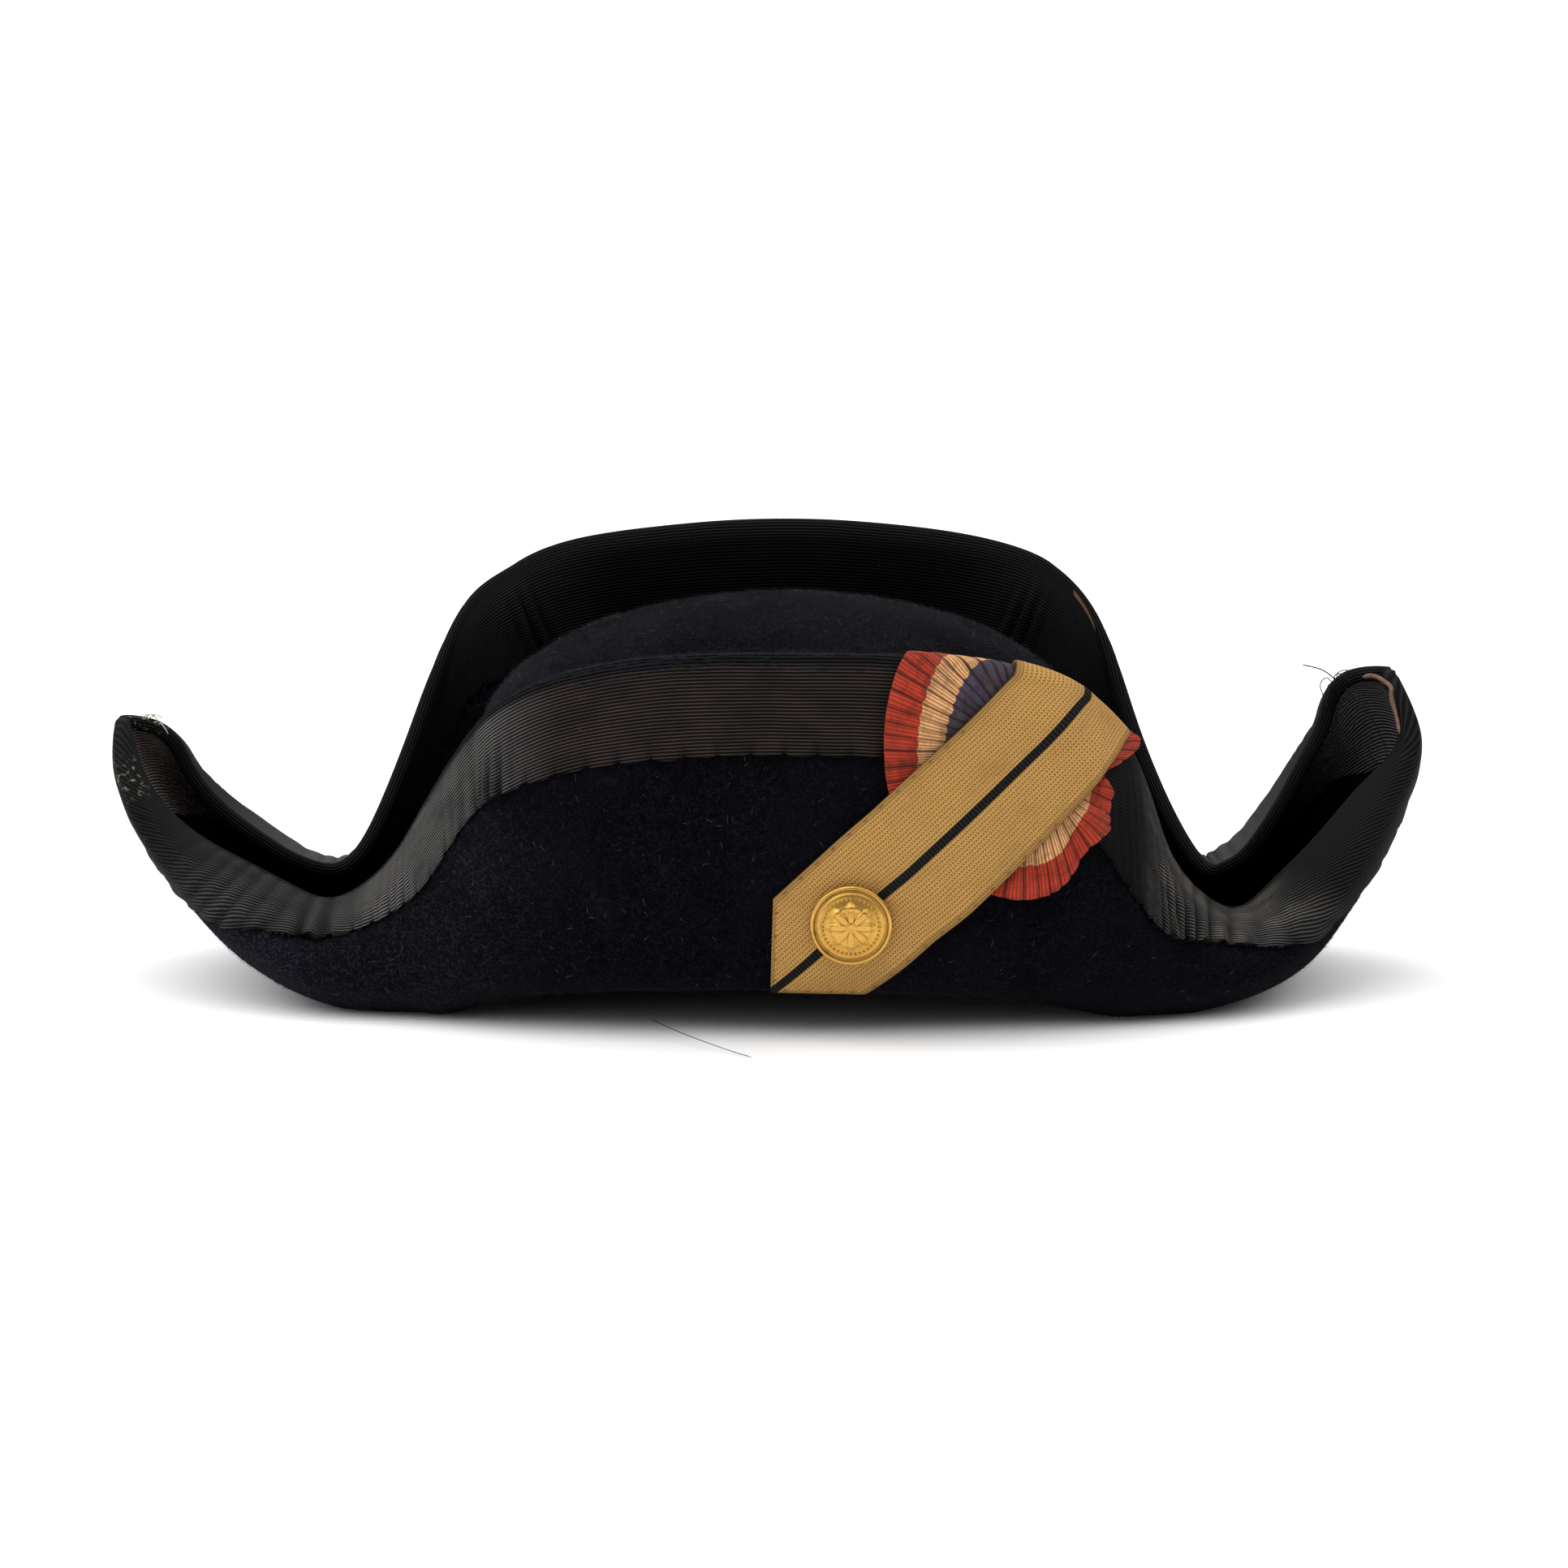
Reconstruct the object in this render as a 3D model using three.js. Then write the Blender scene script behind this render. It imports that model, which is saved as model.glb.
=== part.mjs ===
// A bicorne hat of black felt: a domed crown whose wide brim is turned up in front and behind and
// runs out at both sides into two curled horns. A ribbed ribbon binds the whole edge of the brim.
// On the front flap sit a pleated cockade, a slanting lace strap that folds over the edge, and a
// gilt button.
//
// Millimetres. +X runs to the horn on the cockade's side, -Y is the front, +Z is up. The origin is
// under the middle of the hat, on the surface that it rests on.

import * as THREE from "three";

// Crown and head opening
const CROWN_LENGTH = 198; // outside, from horn to horn
const CROWN_WIDTH = 165; // outside, from front to back
const CROWN_HEIGHT = 126; // top of the dome above the table
const DOME_RISE = 48; // height of the rounded top over the upright wall
const FELT = 2.2; // wall of the felt

// Brim
const BRIM_ROOM = 11.6; // from the crown's outside to the flap's outside, at the fold
const LEFT_HORN = 118; // reach of each horn past the end of the crown
const RIGHT_HORN = 106;
const HORN_RISE = 100; // height that the higher tip climbs to
const ARCH_RISE = 14; // height of the front and rear folds over the table, at the middle
const FRONT_RISE = 101; // front flap, from fold to edge
const REAR_RISE = 121; // rear flap, from fold to edge
const BELLY_RISE = 13; // height over the fold at which the flaps stand widest
const BASE_LIFT = 1.5; // the crown's edge over the folds, at front and rear
const FLAT = 0.78; // share of the floor's half breadth that is flat, at the crown's ends
const FLOOR_ROUND = 0.25; // how round the horns' floors are

// Edge ribbon
const RIBBON_WIDTH = 29; // on each face
const RIBBON = 1; // thickness
const FIT_GAP = 0.3; // between pieces that touch

// Cockade
const COCKADE_RADIUS = 44;
const COCKADE_HOLE = 11;
const COCKADE_OVER = 5.5; // its top is gathered into this length past the flap's edge
const COCKADE_CLOTH = 1;
const COCKADE_STAND = 1.3; // the pleats' backs off the ribbon
const COCKADE_DROP = 22; // centre, below the edge of the flap
const COCKADE_ALONG = 74; // centre, along the flap from its middle
const PLEATS = 44;
const PLEAT_DEPTH = 1.2;
const RUFFLE_DEPTH = 2.6; // slower waves of the free rim

// Lace strap
const STRAP_WIDTH = 42.5;
const STRAP = 1.2;
const STRAP_STAND = 1.1; // its back off the pleats and the felt
const STRAP_SLANT = 43; // degrees from the level
const STRAP_REACH = 107; // from its point to the cockade's centre
const STRAP_TUCK = 26; // length hidden inside the flap
const STRAP_RAMP = 20; // length over which it climbs on to the cockade

// Button
const BUTTON_DIAMETER = 25;
const BUTTON_HEIGHT = 4.6;
const BUTTON_UP = 33.2; // centre, up the strap from its point

// Fineness of the faceted solids
const HORN_STEPS = 2;
const CROWN_STEPS = 3;
const RIBBON_ROWS = 3;
const STRAP_STEPS = 18;
const LATHE_STEPS = 36;

// Middle surface of the felt
const HALF_LENGTH = (CROWN_LENGTH - FELT) / 2;
const HALF_WIDTH = (CROWN_WIDTH - FELT) / 2;
const HALF_DEPTH = HALF_WIDTH + BRIM_ROOM;
const WALL_TOP = CROWN_HEIGHT - FELT / 2 - DOME_RISE;
const SKIN = FELT / 2 + FIT_GAP; // middle of the felt to the ribbon's inside
const RIBBON_TOP = SKIN + RIBBON; // middle of the felt to the ribbon's outside

// Sections of the brim from the left tip to the right one. Each is a U across the hat, standing on
// the keel or fold line and leaning by its own angle.
//   crown, horn   where its walls stand: share of half the crown's length, and of the horn's reach
//   root, angle   where its floor starts: share of the horn's reach, and angle round the crown
//   keel, arch    height of its floor: shares of HORN_RISE and ARCH_RISE
//   lean          degrees from upright, positive to the right
//   belly         widest depth, as a share of HALF_DEPTH
//   front, frontIn   height and depth of the front edge: shares of FRONT_RISE and HALF_DEPTH
//   rear, rearIn     the same for the rear edge, with REAR_RISE
//   turn          where the rear flap turns in towards its edge: share of its height
//   bound         width of the ribbon on the front flap: share of RIBBON_WIDTH
const SECTIONS = table(
  ["crown", "horn", "root", "angle", "keel", "arch", "lean", "belly",
    "front", "frontIn", "rear", "rearIn", "turn", "bound"],
  [
    [-1.0, 0.985, 0.985, 0, 0.825, 0, 95, 0.14, 0.03, 0.12, 0.08, 0.1, 0.9, 1], // left tip
    [-1.0, 0.985, 0.985, 0, 0.68, 0, 80, 0.25, 0.08, 0.2, 0.12, 0.15, 0.95, 1],
    [-1.0, 0.9, 0.9, 0, 0.47, 0, 61, 0.4, 0.12, 0.27, 0.14, 0.17, 0.95, 1],
    [-1.0, 0.755, 0.755, 0, 0.24, 0, 42, 0.52, 0.23, 0.33, 0.185, 0.19, 0.92, 0.95],
    [-1.0, 0.585, 0.585, 0, 0.08, 0, 22, 0.63, 0.28, 0.36, 0.21, 0.24, 0.83, 0.88],
    [-1.0, 0.39, 0.39, 0, -0.01, 0, 4, 0.71, 0.31, 0.39, 0.27, 0.38, 0.85, 0.8], // left dip
    [-1.0, 0.2, 0.16, 0, -0.01, 0, 0, 0.74, 0.465, 0.53, 0.68, 0.7, 0.9, 0.75],
    [-1.0, 0.09, 0, 0, 0.01, 0, 0, 0.79, 0.67, 0.69, 0.91, 0.86, 0.9, 0.9],
    [-0.97, 0, 0, 24, 0, 0.42, 0, 0.86, 0.84, 0.81, 0.95, 0.95, 0.9, 0.85], // left corner
    [-0.78, 0, 0, 45, 0, 0.8, 0, 0.94, 0.95, 0.92, 0.98, 1.01, 0.9, 0.95],
    [-0.43, 0, 0, 67, 0, 1.04, 0, 1.0, 1.005, 0.99, 0.995, 1.04, 0.9, 1],
    [0, 0, 0, 90, 0, 1.08, 0, 1.0, 1.015, 1.0, 1.01, 1.05, 0.9, 1], // middle
    [0.43, 0, 0, 113, 0, 0.95, 0, 1.0, 1.02, 0.99, 1.005, 1.04, 0.9, 1],
    [0.78, 0, 0, 135, 0, 0.67, 0, 0.95, 1.01, 0.905, 0.99, 1.01, 0.9, 1.05],
    [0.97, 0, 0, 156, 0, 0.27, 0, 0.88, 0.945, 0.77, 0.965, 0.95, 0.9, 1.35], // right corner
    [1.0, 0.1, 0, 180, 0, 0, 0, 0.83, 0.79, 0.64, 0.85, 0.86, 0.9, 1.6],
    [1.0, 0.21, 0.17, 180, -0.01, 0, 0, 0.79, 0.46, 0.5, 0.555, 0.7, 0.9, 1.15],
    [1.0, 0.4, 0.4, 180, -0.01, 0, -4, 0.73, 0.29, 0.39, 0.25, 0.38, 0.84, 0.85], // right dip
    [1.0, 0.57, 0.57, 180, 0.04, 0, -25, 0.64, 0.26, 0.36, 0.245, 0.24, 0.94, 0.88],
    [1.0, 0.73, 0.73, 180, 0.15, 0, -45, 0.52, 0.27, 0.33, 0.255, 0.19, 0.98, 0.95],
    [1.0, 0.88, 0.88, 180, 0.37, 0, -63, 0.41, 0.23, 0.28, 0.265, 0.16, 1, 1],
    [1.0, 0.972, 0.972, 180, 0.6, 0, -75, 0.31, 0.16, 0.22, 0.255, 0.15, 1, 1],
    [1.0, 1.0, 1.0, 180, 0.8, 0, -89, 0.22, 0.07, 0.16, 0.21, 0.14, 1, 1],
    [1.0, 0.9, 0.9, 180, 1.0, 0, -118, 0.13, 0.03, 0.11, 0.12, 0.1, 1, 1], // right tip
  ],
);
const LEFT_END = SECTIONS.findLastIndex((row) => row.angle === 0); // sections at the crown's ends
const RIGHT_END = SECTIONS.findIndex((row) => row.angle === 180);
const LAST = SECTIONS.length - 1;
const FRONT = -1;
const REAR = 1;

function table(columns, rows) {
  return rows.map((row) => Object.fromEntries(columns.map((name, i) => [name, row[i]])));
}

function mix(a, b, share) {
  return a + (b - a) * share;
}

function clamp(value, low, high) {
  return Math.min(high, Math.max(low, value));
}

function rise(value, from, to) {
  const share = clamp((value - from) / (to - from), 0, 1);
  return share * share * (3 - 2 * share);
}

// A column of the table at a place between two rows, on a smooth curve through the rows.
function between(column, place) {
  const i = Math.min(Math.floor(place), LAST - 1);
  const f = place - i;
  const here = SECTIONS[i][column];
  const next = SECTIONS[i + 1][column];
  const before = i > 0 ? SECTIONS[i - 1][column] : 2 * here - next;
  const after = i + 2 <= LAST ? SECTIONS[i + 2][column] : 2 * next - here;
  return (
    0.5 *
    (2 * here +
      (next - before) * f +
      (2 * before - 5 * here + 4 * next - after) * f * f +
      (3 * here - before - 3 * next + after) * f * f * f)
  );
}

// The brim's section at a place, from the crown or keel out to the edge, on one side of the hat.
function sectionCurve(place, side) {
  const s = {};
  for (const column of Object.keys(SECTIONS[0])) s[column] = between(column, place);
  const inHorn = place < LEFT_END || place > RIGHT_END;
  const horn = place < LAST / 2 ? -LEFT_HORN : RIGHT_HORN;
  const angle = inHorn ? (horn < 0 ? 0 : Math.PI) : THREE.MathUtils.degToRad(clamp(s.angle, 0, 180));
  const lean = THREE.MathUtils.degToRad(place > LEFT_END && place < RIGHT_END ? 0 : s.lean);
  const wallX = s.crown * HALF_LENGTH + Math.max(0, s.horn) * horn;
  const rootX = -HALF_LENGTH * Math.cos(angle) + (inHorn ? Math.max(0, s.root) * horn : 0);
  const floor = s.keel * HORN_RISE + s.arch * ARCH_RISE;
  const belly = s.belly * HALF_DEPTH;
  const height = side === FRONT ? s.front * FRONT_RISE : s.rear * REAR_RISE;
  const edge = (side === FRONT ? s.frontIn : s.rearIn) * HALF_DEPTH;
  const curl = clamp((belly - edge) / belly, 0, 1);
  const rootDepth = HALF_WIDTH * Math.sin(angle);
  const bellyRise = Math.min(BELLY_RISE, 0.42 * height);

  const round = FLOOR_ROUND * height * Math.abs(Math.sin(lean));
  const lift = side === FRONT ? 0.82 - 0.2 * curl : s.turn;
  const flat = mix(FLAT, FLAT / 2, Math.sin(angle));

  const rested = (x, depth, z) => new THREE.Vector3(x, side * depth, Math.max(z, FELT / 2));
  const leaning = (x, depth, up) => rested(x + up * Math.sin(lean), depth, floor + up * Math.cos(lean));
  return new THREE.CatmullRomCurve3(
    [
      rested(rootX, rootDepth, floor + BASE_LIFT * Math.sin(angle)),
      leaning(mix(rootX, wallX, flat), mix(rootDepth, belly, flat), round),
      leaning(wallX, belly, bellyRise + round / 2),
      leaning(wallX, mix(edge, belly, 0.75), height * lift),
      leaning(wallX, edge, height),
    ],
    false,
    "centripetal",
  );
}

// The point of a section's curve at a distance from the edge, never lower than the felt can lie.
function fromEdge(curve, distance) {
  const point = curve.getPointAt(clamp(1 - distance / curve.getLength(), 0, 1));
  point.z = Math.max(point.z, FELT / 2);
  return point;
}

// Corners and faces of a surface that is put together from grids. Corners at one place are one.
class Surface {
  points = [];
  faces = [];
  found = new Map();

  corner(point) {
    const key = point.toArray().map((value) => Math.round(value * 1e3)).join();
    if (!this.found.has(key)) {
      this.found.set(key, this.points.length);
      this.points.push(point.clone());
    }
    return this.found.get(key);
  }

  triangle(a, b, c) {
    if (a !== b && b !== c && c !== a) this.faces.push([a, b, c]);
  }

  quad(a, b, c, d) {
    this.triangle(a, b, c);
    this.triangle(a, c, d);
  }

  // Faces between the lines of a grid of corner numbers.
  grid(lines, flip = false) {
    for (let i = 0; i + 1 < lines.length; i++)
      for (let j = 0; j + 1 < lines[i].length; j++) {
        const [a, b, c, d] = [lines[i][j], lines[i + 1][j], lines[i + 1][j + 1], lines[i][j + 1]];
        if (flip) this.quad(a, d, c, b);
        else this.quad(a, b, c, d);
      }
  }

  normals() {
    const sums = this.points.map(() => new THREE.Vector3());
    for (const [a, b, c] of this.faces) {
      const [p, q, r] = [this.points[a], this.points[b], this.points[c]];
      const face = q.clone().sub(p).cross(r.clone().sub(p));
      for (const i of [a, b, c]) sums[i].add(face);
    }
    return sums.map((sum) => sum.normalize());
  }

  // Edges with a face on one side only, each as [from, to] in the face's own sense.
  rim() {
    const seen = new Set(this.faces.flatMap(([a, b, c]) => [`${a},${b}`, `${b},${c}`, `${c},${a}`]));
    return [...seen].map((key) => key.split(",").map(Number)).filter(([a, b]) => !seen.has(`${b},${a}`));
  }
}

function solidOf(points, faces) {
  const geometry = new THREE.BufferGeometry();
  const corners = faces.flatMap((face) => face.flatMap((i) => points[i].toArray()));
  geometry.setAttribute("position", new THREE.Float32BufferAttribute(corners, 3));
  geometry.computeVertexNormals();
  return geometry;
}

// A wall of even thickness about a surface. The far side lies along the normals.
function wall(surface, thickness) {
  const normals = surface.normals();
  const count = surface.points.length;
  const shifted = (by) => surface.points.map((point, i) => point.clone().addScaledVector(normals[i], by));
  const faces = [];
  for (const [a, b, c] of surface.faces) faces.push([a, b, c], [c + count, b + count, a + count]);
  for (const [a, b] of surface.rim()) faces.push([b, a, a + count], [b, a + count, b + count]);
  return solidOf([...shifted(thickness / 2), ...shifted(-thickness / 2)], faces);
}

// Distances from the edge at which a section has its corners: the ribbon's rows, then the felt's.
function rowDistances(length, share) {
  const bound = Math.min(RIBBON_WIDTH * share, length);
  const ribbon = Array.from({ length: RIBBON_ROWS + 1 }, (_, i) => (bound * i) / RIBBON_ROWS);
  return [...ribbon, ...[0.35, 0.62, 0.81, 1].map((share) => mix(bound, length, share))];
}

// The brim's columns of corners, from edge to root, for one side of the hat.
function places() {
  const all = [];
  for (let i = 0; i < LAST; i++) {
    const steps = i >= LEFT_END && i < RIGHT_END ? CROWN_STEPS : HORN_STEPS;
    for (let k = 0; k < steps; k++) all.push(i + k / steps);
  }
  return [...all, LAST];
}

function feltSurface() {
  const surface = new Surface();
  const columns = { [FRONT]: [], [REAR]: [] };
  for (const side of [FRONT, REAR])
    for (const place of places()) {
      const curve = sectionCurve(place, side);
      const share = side === FRONT ? between("bound", place) : 1;
      const points = rowDistances(curve.getLength(), share).map((distance) => fromEdge(curve, distance));
      columns[side].push(points.map((point) => surface.corner(point)));
    }
  surface.grid(columns[FRONT]);
  surface.grid(columns[REAR], true);
  const bound = surface.faces.length;

  // The crown rises from the roots of the sections between its two ends.
  const all = places();
  const inCrown = all.map((place) => place >= LEFT_END && place <= RIGHT_END);
  const roots = (side) => columns[side].filter((_, i) => inCrown[i]).map((column) => column.at(-1));
  const ring = [...roots(FRONT), ...roots(REAR).reverse().slice(1, -1)];
  const rings = [ring];
  for (const share of [0.4, 1]) rings.push(ring.map((i) => crownPoint(surface, i, share, 0)));
  for (const turn of [22, 42, 60, 76]) rings.push(ring.map((i) => crownPoint(surface, i, 1, turn)));
  for (const line of rings) line.push(line[0]);
  surface.grid(rings, true);
  const top = surface.corner(new THREE.Vector3(0, 0, WALL_TOP + DOME_RISE));
  const last = rings.at(-1);
  for (let j = 0; j + 1 < last.length; j++) surface.triangle(last[j], last[j + 1], top);
  return { surface, columns, bound };
}

// The corner over a root of the crown: a share of the way up its wall, then a turn over the dome.
function crownPoint(surface, root, share, turn) {
  const from = surface.points[root];
  const over = THREE.MathUtils.degToRad(turn);
  const z = mix(from.z, WALL_TOP, share) + DOME_RISE * Math.sin(over);
  return surface.corner(new THREE.Vector3(from.x * Math.cos(over), from.y * Math.cos(over), z));
}

// The ribbon folded round the edge of the felt: its two faces lie on both sides of the rows within
// RIBBON_WIDTH of the edge, and a fold runs round the felt's rim.
function ribbonSolid({ surface, columns }) {
  const normals = surface.normals();
  const strip = new Surface();
  strip.points = surface.points;
  const bound = (side) => columns[side].map((column) => column.slice(0, RIBBON_ROWS + 1));
  strip.grid(bound(FRONT));
  strip.grid(bound(REAR), true);
  const outer = new Set(surface.rim().map((edge) => edge.join()));
  const rim = strip.rim();
  const folds = rim.filter((edge) => outer.has(edge.join()));
  const ends = rim.filter((edge) => !outer.has(edge.join()));

  const away = surface.points.map(() => new THREE.Vector3());
  for (const [a, b] of folds) {
    const along = surface.points[b].clone().sub(surface.points[a]);
    for (const i of [a, b]) away[i].add(along.clone().cross(normals[i]));
  }
  away.forEach((direction) => direction.normalize());

  const count = surface.points.length;
  const layer = (directions, by) => surface.points.map((point, i) => point.clone().addScaledVector(directions[i], by));
  const points = [RIBBON_TOP, SKIN].flatMap((by) => [...layer(normals, by), ...layer(normals, -by), ...layer(away, by)]);
  const faces = [];
  for (const [skin, flip] of [[0, false], [3 * count, true]]) {
    const add = (a, b, c) => faces.push(flip ? [c + skin, b + skin, a + skin] : [a + skin, b + skin, c + skin]);
    for (const [a, b, c] of strip.faces) {
      add(a, b, c);
      add(c + count, b + count, a + count);
    }
    for (const [a, b] of folds) {
      const [aa, bb] = [a + 2 * count, b + 2 * count];
      add(b, a, aa);
      add(b, aa, bb);
      add(bb, aa, a + count);
      add(bb, a + count, b + count);
    }
  }
  for (const [a, b] of ends) {
    faces.push([b, a, a + 3 * count], [b, a + 3 * count, b + 3 * count]);
    faces.push([a + count, b + count, b + 4 * count], [a + count, b + 4 * count, a + 4 * count]);
  }
  return solidOf(points, faces);
}

// Places on the front flap, told by the length along it from its middle and the drop below its edge.
const AHEAD = flapRuler();

function flapRuler() {
  const ruler = [];
  const step = 0.02;
  let along = 0;
  let last = null;
  for (let place = LAST / 2 - 2; place < RIGHT_END + 1.2; place += step) {
    const point = sectionCurve(place, FRONT).getPoint(0.8);
    if (last) along += Math.hypot(point.x - last.x, point.y - last.y);
    last = point;
    ruler.push({ place, along, x: point.x });
  }
  const zero = ruler.reduce((a, b) => (Math.abs(a.x) < Math.abs(b.x) ? a : b)).along;
  return ruler.map(({ place, along: reached }) => ({ place, along: reached - zero }));
}

function placeAlong(along) {
  let i = 0;
  while (i + 2 < AHEAD.length && AHEAD[i + 1].along < along) i++;
  const [a, b] = [AHEAD[i], AHEAD[i + 1]];
  return mix(a.place, b.place, (along - a.along) / (b.along - a.along));
}

// The felt's middle at a drop below the edge, with the directions out of the flap there and, square
// to its edge, up.
function onFlap(along, drop) {
  const place = placeAlong(along);
  const spot = (p, distance) => fromEdge(sectionCurve(p, FRONT), distance);
  const point = spot(place, drop);
  const side = spot(place + 0.02, drop).sub(spot(place - 0.02, drop)).normalize();
  const up = spot(place, Math.max(0, drop - 1)).sub(spot(place, Math.max(0, drop - 1) + 2));
  const out = side.clone().cross(up).normalize();
  return { point, out, up: out.clone().cross(side) };
}

// A point lifted off the flap's outside. Past the edge it goes round and down the inside.
function draped(along, drop, lift) {
  const turn = -drop / lift;
  const { point, up, out } = onFlap(along, turn > Math.PI ? -drop - Math.PI * lift : Math.max(drop, 0));
  if (turn <= 0) return point.addScaledVector(out, lift);
  if (turn >= Math.PI) return point.addScaledVector(out, -lift);
  return point.addScaledVector(out, lift * Math.cos(turn)).addScaledVector(up, lift * Math.sin(turn));
}

// Height of the flap's edge over the level of the strap's point, at a length along the flap.
function edgeHeight(along) {
  return sectionCurve(placeAlong(along), FRONT).getPoint(1).z;
}

const COCKADE_LIFT = RIBBON_TOP + COCKADE_STAND + COCKADE_CLOTH / 2;
const SLANT = THREE.MathUtils.degToRad(STRAP_SLANT);
const COCKADE_HEIGHT = edgeHeight(COCKADE_ALONG) - COCKADE_DROP;
const ON_COCKADE = COCKADE_LIFT + COCKADE_CLOTH / 2 + STRAP_STAND + STRAP / 2;
const ON_FELT = FELT / 2 + STRAP_STAND + STRAP / 2;

// A place on the strap: up its length from the point, and across it from its middle line.
function strapSpot(up, across) {
  const along = COCKADE_ALONG + (up - STRAP_REACH) * Math.cos(SLANT) - across * Math.sin(SLANT);
  const height = COCKADE_HEIGHT + (up - STRAP_REACH) * Math.sin(SLANT) + across * Math.cos(SLANT);
  return { along, drop: edgeHeight(along) - height };
}

function strapLift(up, across) {
  const far = Math.hypot(up - STRAP_REACH, across) - COCKADE_RADIUS;
  return up > STRAP_REACH ? ON_COCKADE : mix(ON_COCKADE, ON_FELT, rise(far, 4, STRAP_RAMP));
}

function strapPoint(up, across) {
  const { along, drop } = strapSpot(up, across);
  return draped(along, drop, strapLift(up, across));
}

// The distance up the strap at which a line along it meets a drop below the flap's edge.
function strapMeets(across, drop) {
  let [low, high] = [STRAP_REACH - COCKADE_RADIUS, STRAP_REACH + 2 * COCKADE_RADIUS];
  for (let i = 0; i < 40; i++) {
    const middle = (low + high) / 2;
    if (strapSpot(middle, across).drop > drop) low = middle;
    else high = middle;
  }
  return (low + high) / 2;
}

// The lace lies slanting on the flap up to the edge, goes straight over it and ends inside.
function strapSurface() {
  const surface = new Surface();
  const lines = [-1, -0.5, 0, 0.5, 1].map((share) => {
    const across = (share * STRAP_WIDTH) / 2;
    const start = Math.abs(across);
    const edge = strapMeets(across, 0);
    const { along } = strapSpot(edge, across);
    const over = Math.PI * ON_COCKADE;
    const points = [];
    for (let i = 0; i < STRAP_STEPS; i++) points.push(strapPoint(mix(start, edge, i / STRAP_STEPS), across));
    for (const turn of [0, 0.25, 0.5, 0.75, 1]) points.push(draped(along, -turn * over, ON_COCKADE));
    for (const tail of [0.5, 1]) points.push(draped(along, -over - tail * STRAP_TUCK, ON_COCKADE));
    return points.map((point) => surface.corner(point));
  });
  surface.grid(lines, true);
  return surface;
}

// The cockade: a ring of ribbon drawn into pleats, wavy at its free rim and flat under the strap.
function cockadeSurface() {
  const surface = new Surface();
  const rows = [0, 0.27, 0.52, 0.76, 1];
  const lines = rows.map((share) => {
    const radius = mix(COCKADE_HOLE, COCKADE_RADIUS, share);
    const line = [];
    for (let i = 0; i < 2 * PLEATS; i++) {
      const around = (Math.PI * i) / PLEATS;
      const along = COCKADE_ALONG + radius * Math.cos(around);
      const height = COCKADE_HEIGHT + radius * Math.sin(around);
      const drop = edgeHeight(along) - height;
      const up = Math.min(height, edgeHeight(along)) - COCKADE_HEIGHT;
      const across = up * Math.cos(SLANT) - (along - COCKADE_ALONG) * Math.sin(SLANT);
      const free = rise(Math.abs(across) - STRAP_WIDTH / 2, 0, 12);
      const pleat = PLEAT_DEPTH * (i % 2) * mix(0.2, 1, free);
      const ruffle = RUFFLE_DEPTH * free * share * (0.5 + 0.5 * Math.sin(7 * around));
      const gathered = drop > 0 ? drop : -COCKADE_OVER * (1 - Math.exp(drop / COCKADE_OVER));
      line.push(surface.corner(draped(along, gathered, COCKADE_LIFT + pleat + ruffle)));
    }
    line.push(line[0]);
    return line;
  });
  surface.grid(lines);
  return surface;
}

// Half of the button's outline, from the middle of its back to the middle of its face:
// radius as a share of the button's, height as a share of the button's.
const BUTTON_OUTLINE = [
  [0, 0], [0.8, 0], [0.97, 0.16], [1, 0.36], [0.98, 0.5], [0.92, 0.56], [0.87, 0.46],
  [0.7, 0.68], [0.45, 0.88], [0.2, 0.98], [0, 1],
];

function buttonMesh() {
  const radius = BUTTON_DIAMETER / 2;
  const outline = BUTTON_OUTLINE.map(([r, h]) => new THREE.Vector2(r * radius, h * BUTTON_HEIGHT));
  const mesh = new THREE.Mesh(new THREE.LatheGeometry(outline, LATHE_STEPS).rotateX(Math.PI / 2));
  const spots = [[0, 0], [-radius, 0], [radius, 0], [0, -radius], [0, radius]];
  const points = spots.map(([up, across]) => strapPoint(BUTTON_UP + up, across));
  const out = points[2].clone().sub(points[1]).cross(points[4].clone().sub(points[3])).normalize();
  if (out.y > 0) out.negate();
  const highest = Math.max(...points.map((point) => point.dot(out)));
  const seat = points[0].addScaledVector(out, highest - points[0].dot(out) + STRAP / 2 + FIT_GAP);
  mesh.position.copy(seat);
  mesh.quaternion.setFromUnitVectors(new THREE.Vector3(0, 0, 1), out);
  return mesh;
}

function piece(name, shape, material) {
  const mesh = shape.isMesh ? shape : new THREE.Mesh(shape);
  mesh.name = name;
  mesh.material = new THREE.MeshStandardMaterial(material);
  return mesh;
}

const felt = feltSurface();
const hat = new THREE.Group();
hat.add(
  piece("felt_body", wall(felt.surface, FELT), { color: 0x12131a, roughness: 0.95 }),
  piece("edge_ribbon", ribbonSolid(felt), { color: 0x1d1b1a, roughness: 0.7 }),
  piece("cockade", wall(cockadeSurface(), COCKADE_CLOTH), { color: 0xb23a2c, roughness: 0.8 }),
  piece("lace_strap", wall(strapSurface(), STRAP), { color: 0xa3834c, roughness: 0.6, metalness: 0.3 }),
  piece("button", buttonMesh(), { color: 0xd9a53a, roughness: 0.3, metalness: 1 }),
);

// The origin goes under the middle of the whole hat.
const box = new THREE.Box3().setFromObject(hat);
const centre = box.getCenter(new THREE.Vector3());
for (const mesh of hat.children) mesh.position.sub(new THREE.Vector3(centre.x, centre.y, box.min.z));

export default hat;
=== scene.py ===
"""A bicorne hat of black felt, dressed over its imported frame.

The brim, its ribbon, the cockade, the lace strap and the button are made again in fine meshes from
the sizes that the solids have. Lengths in the tables and in the maths of the form are millimetres.
"""

import math

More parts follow.
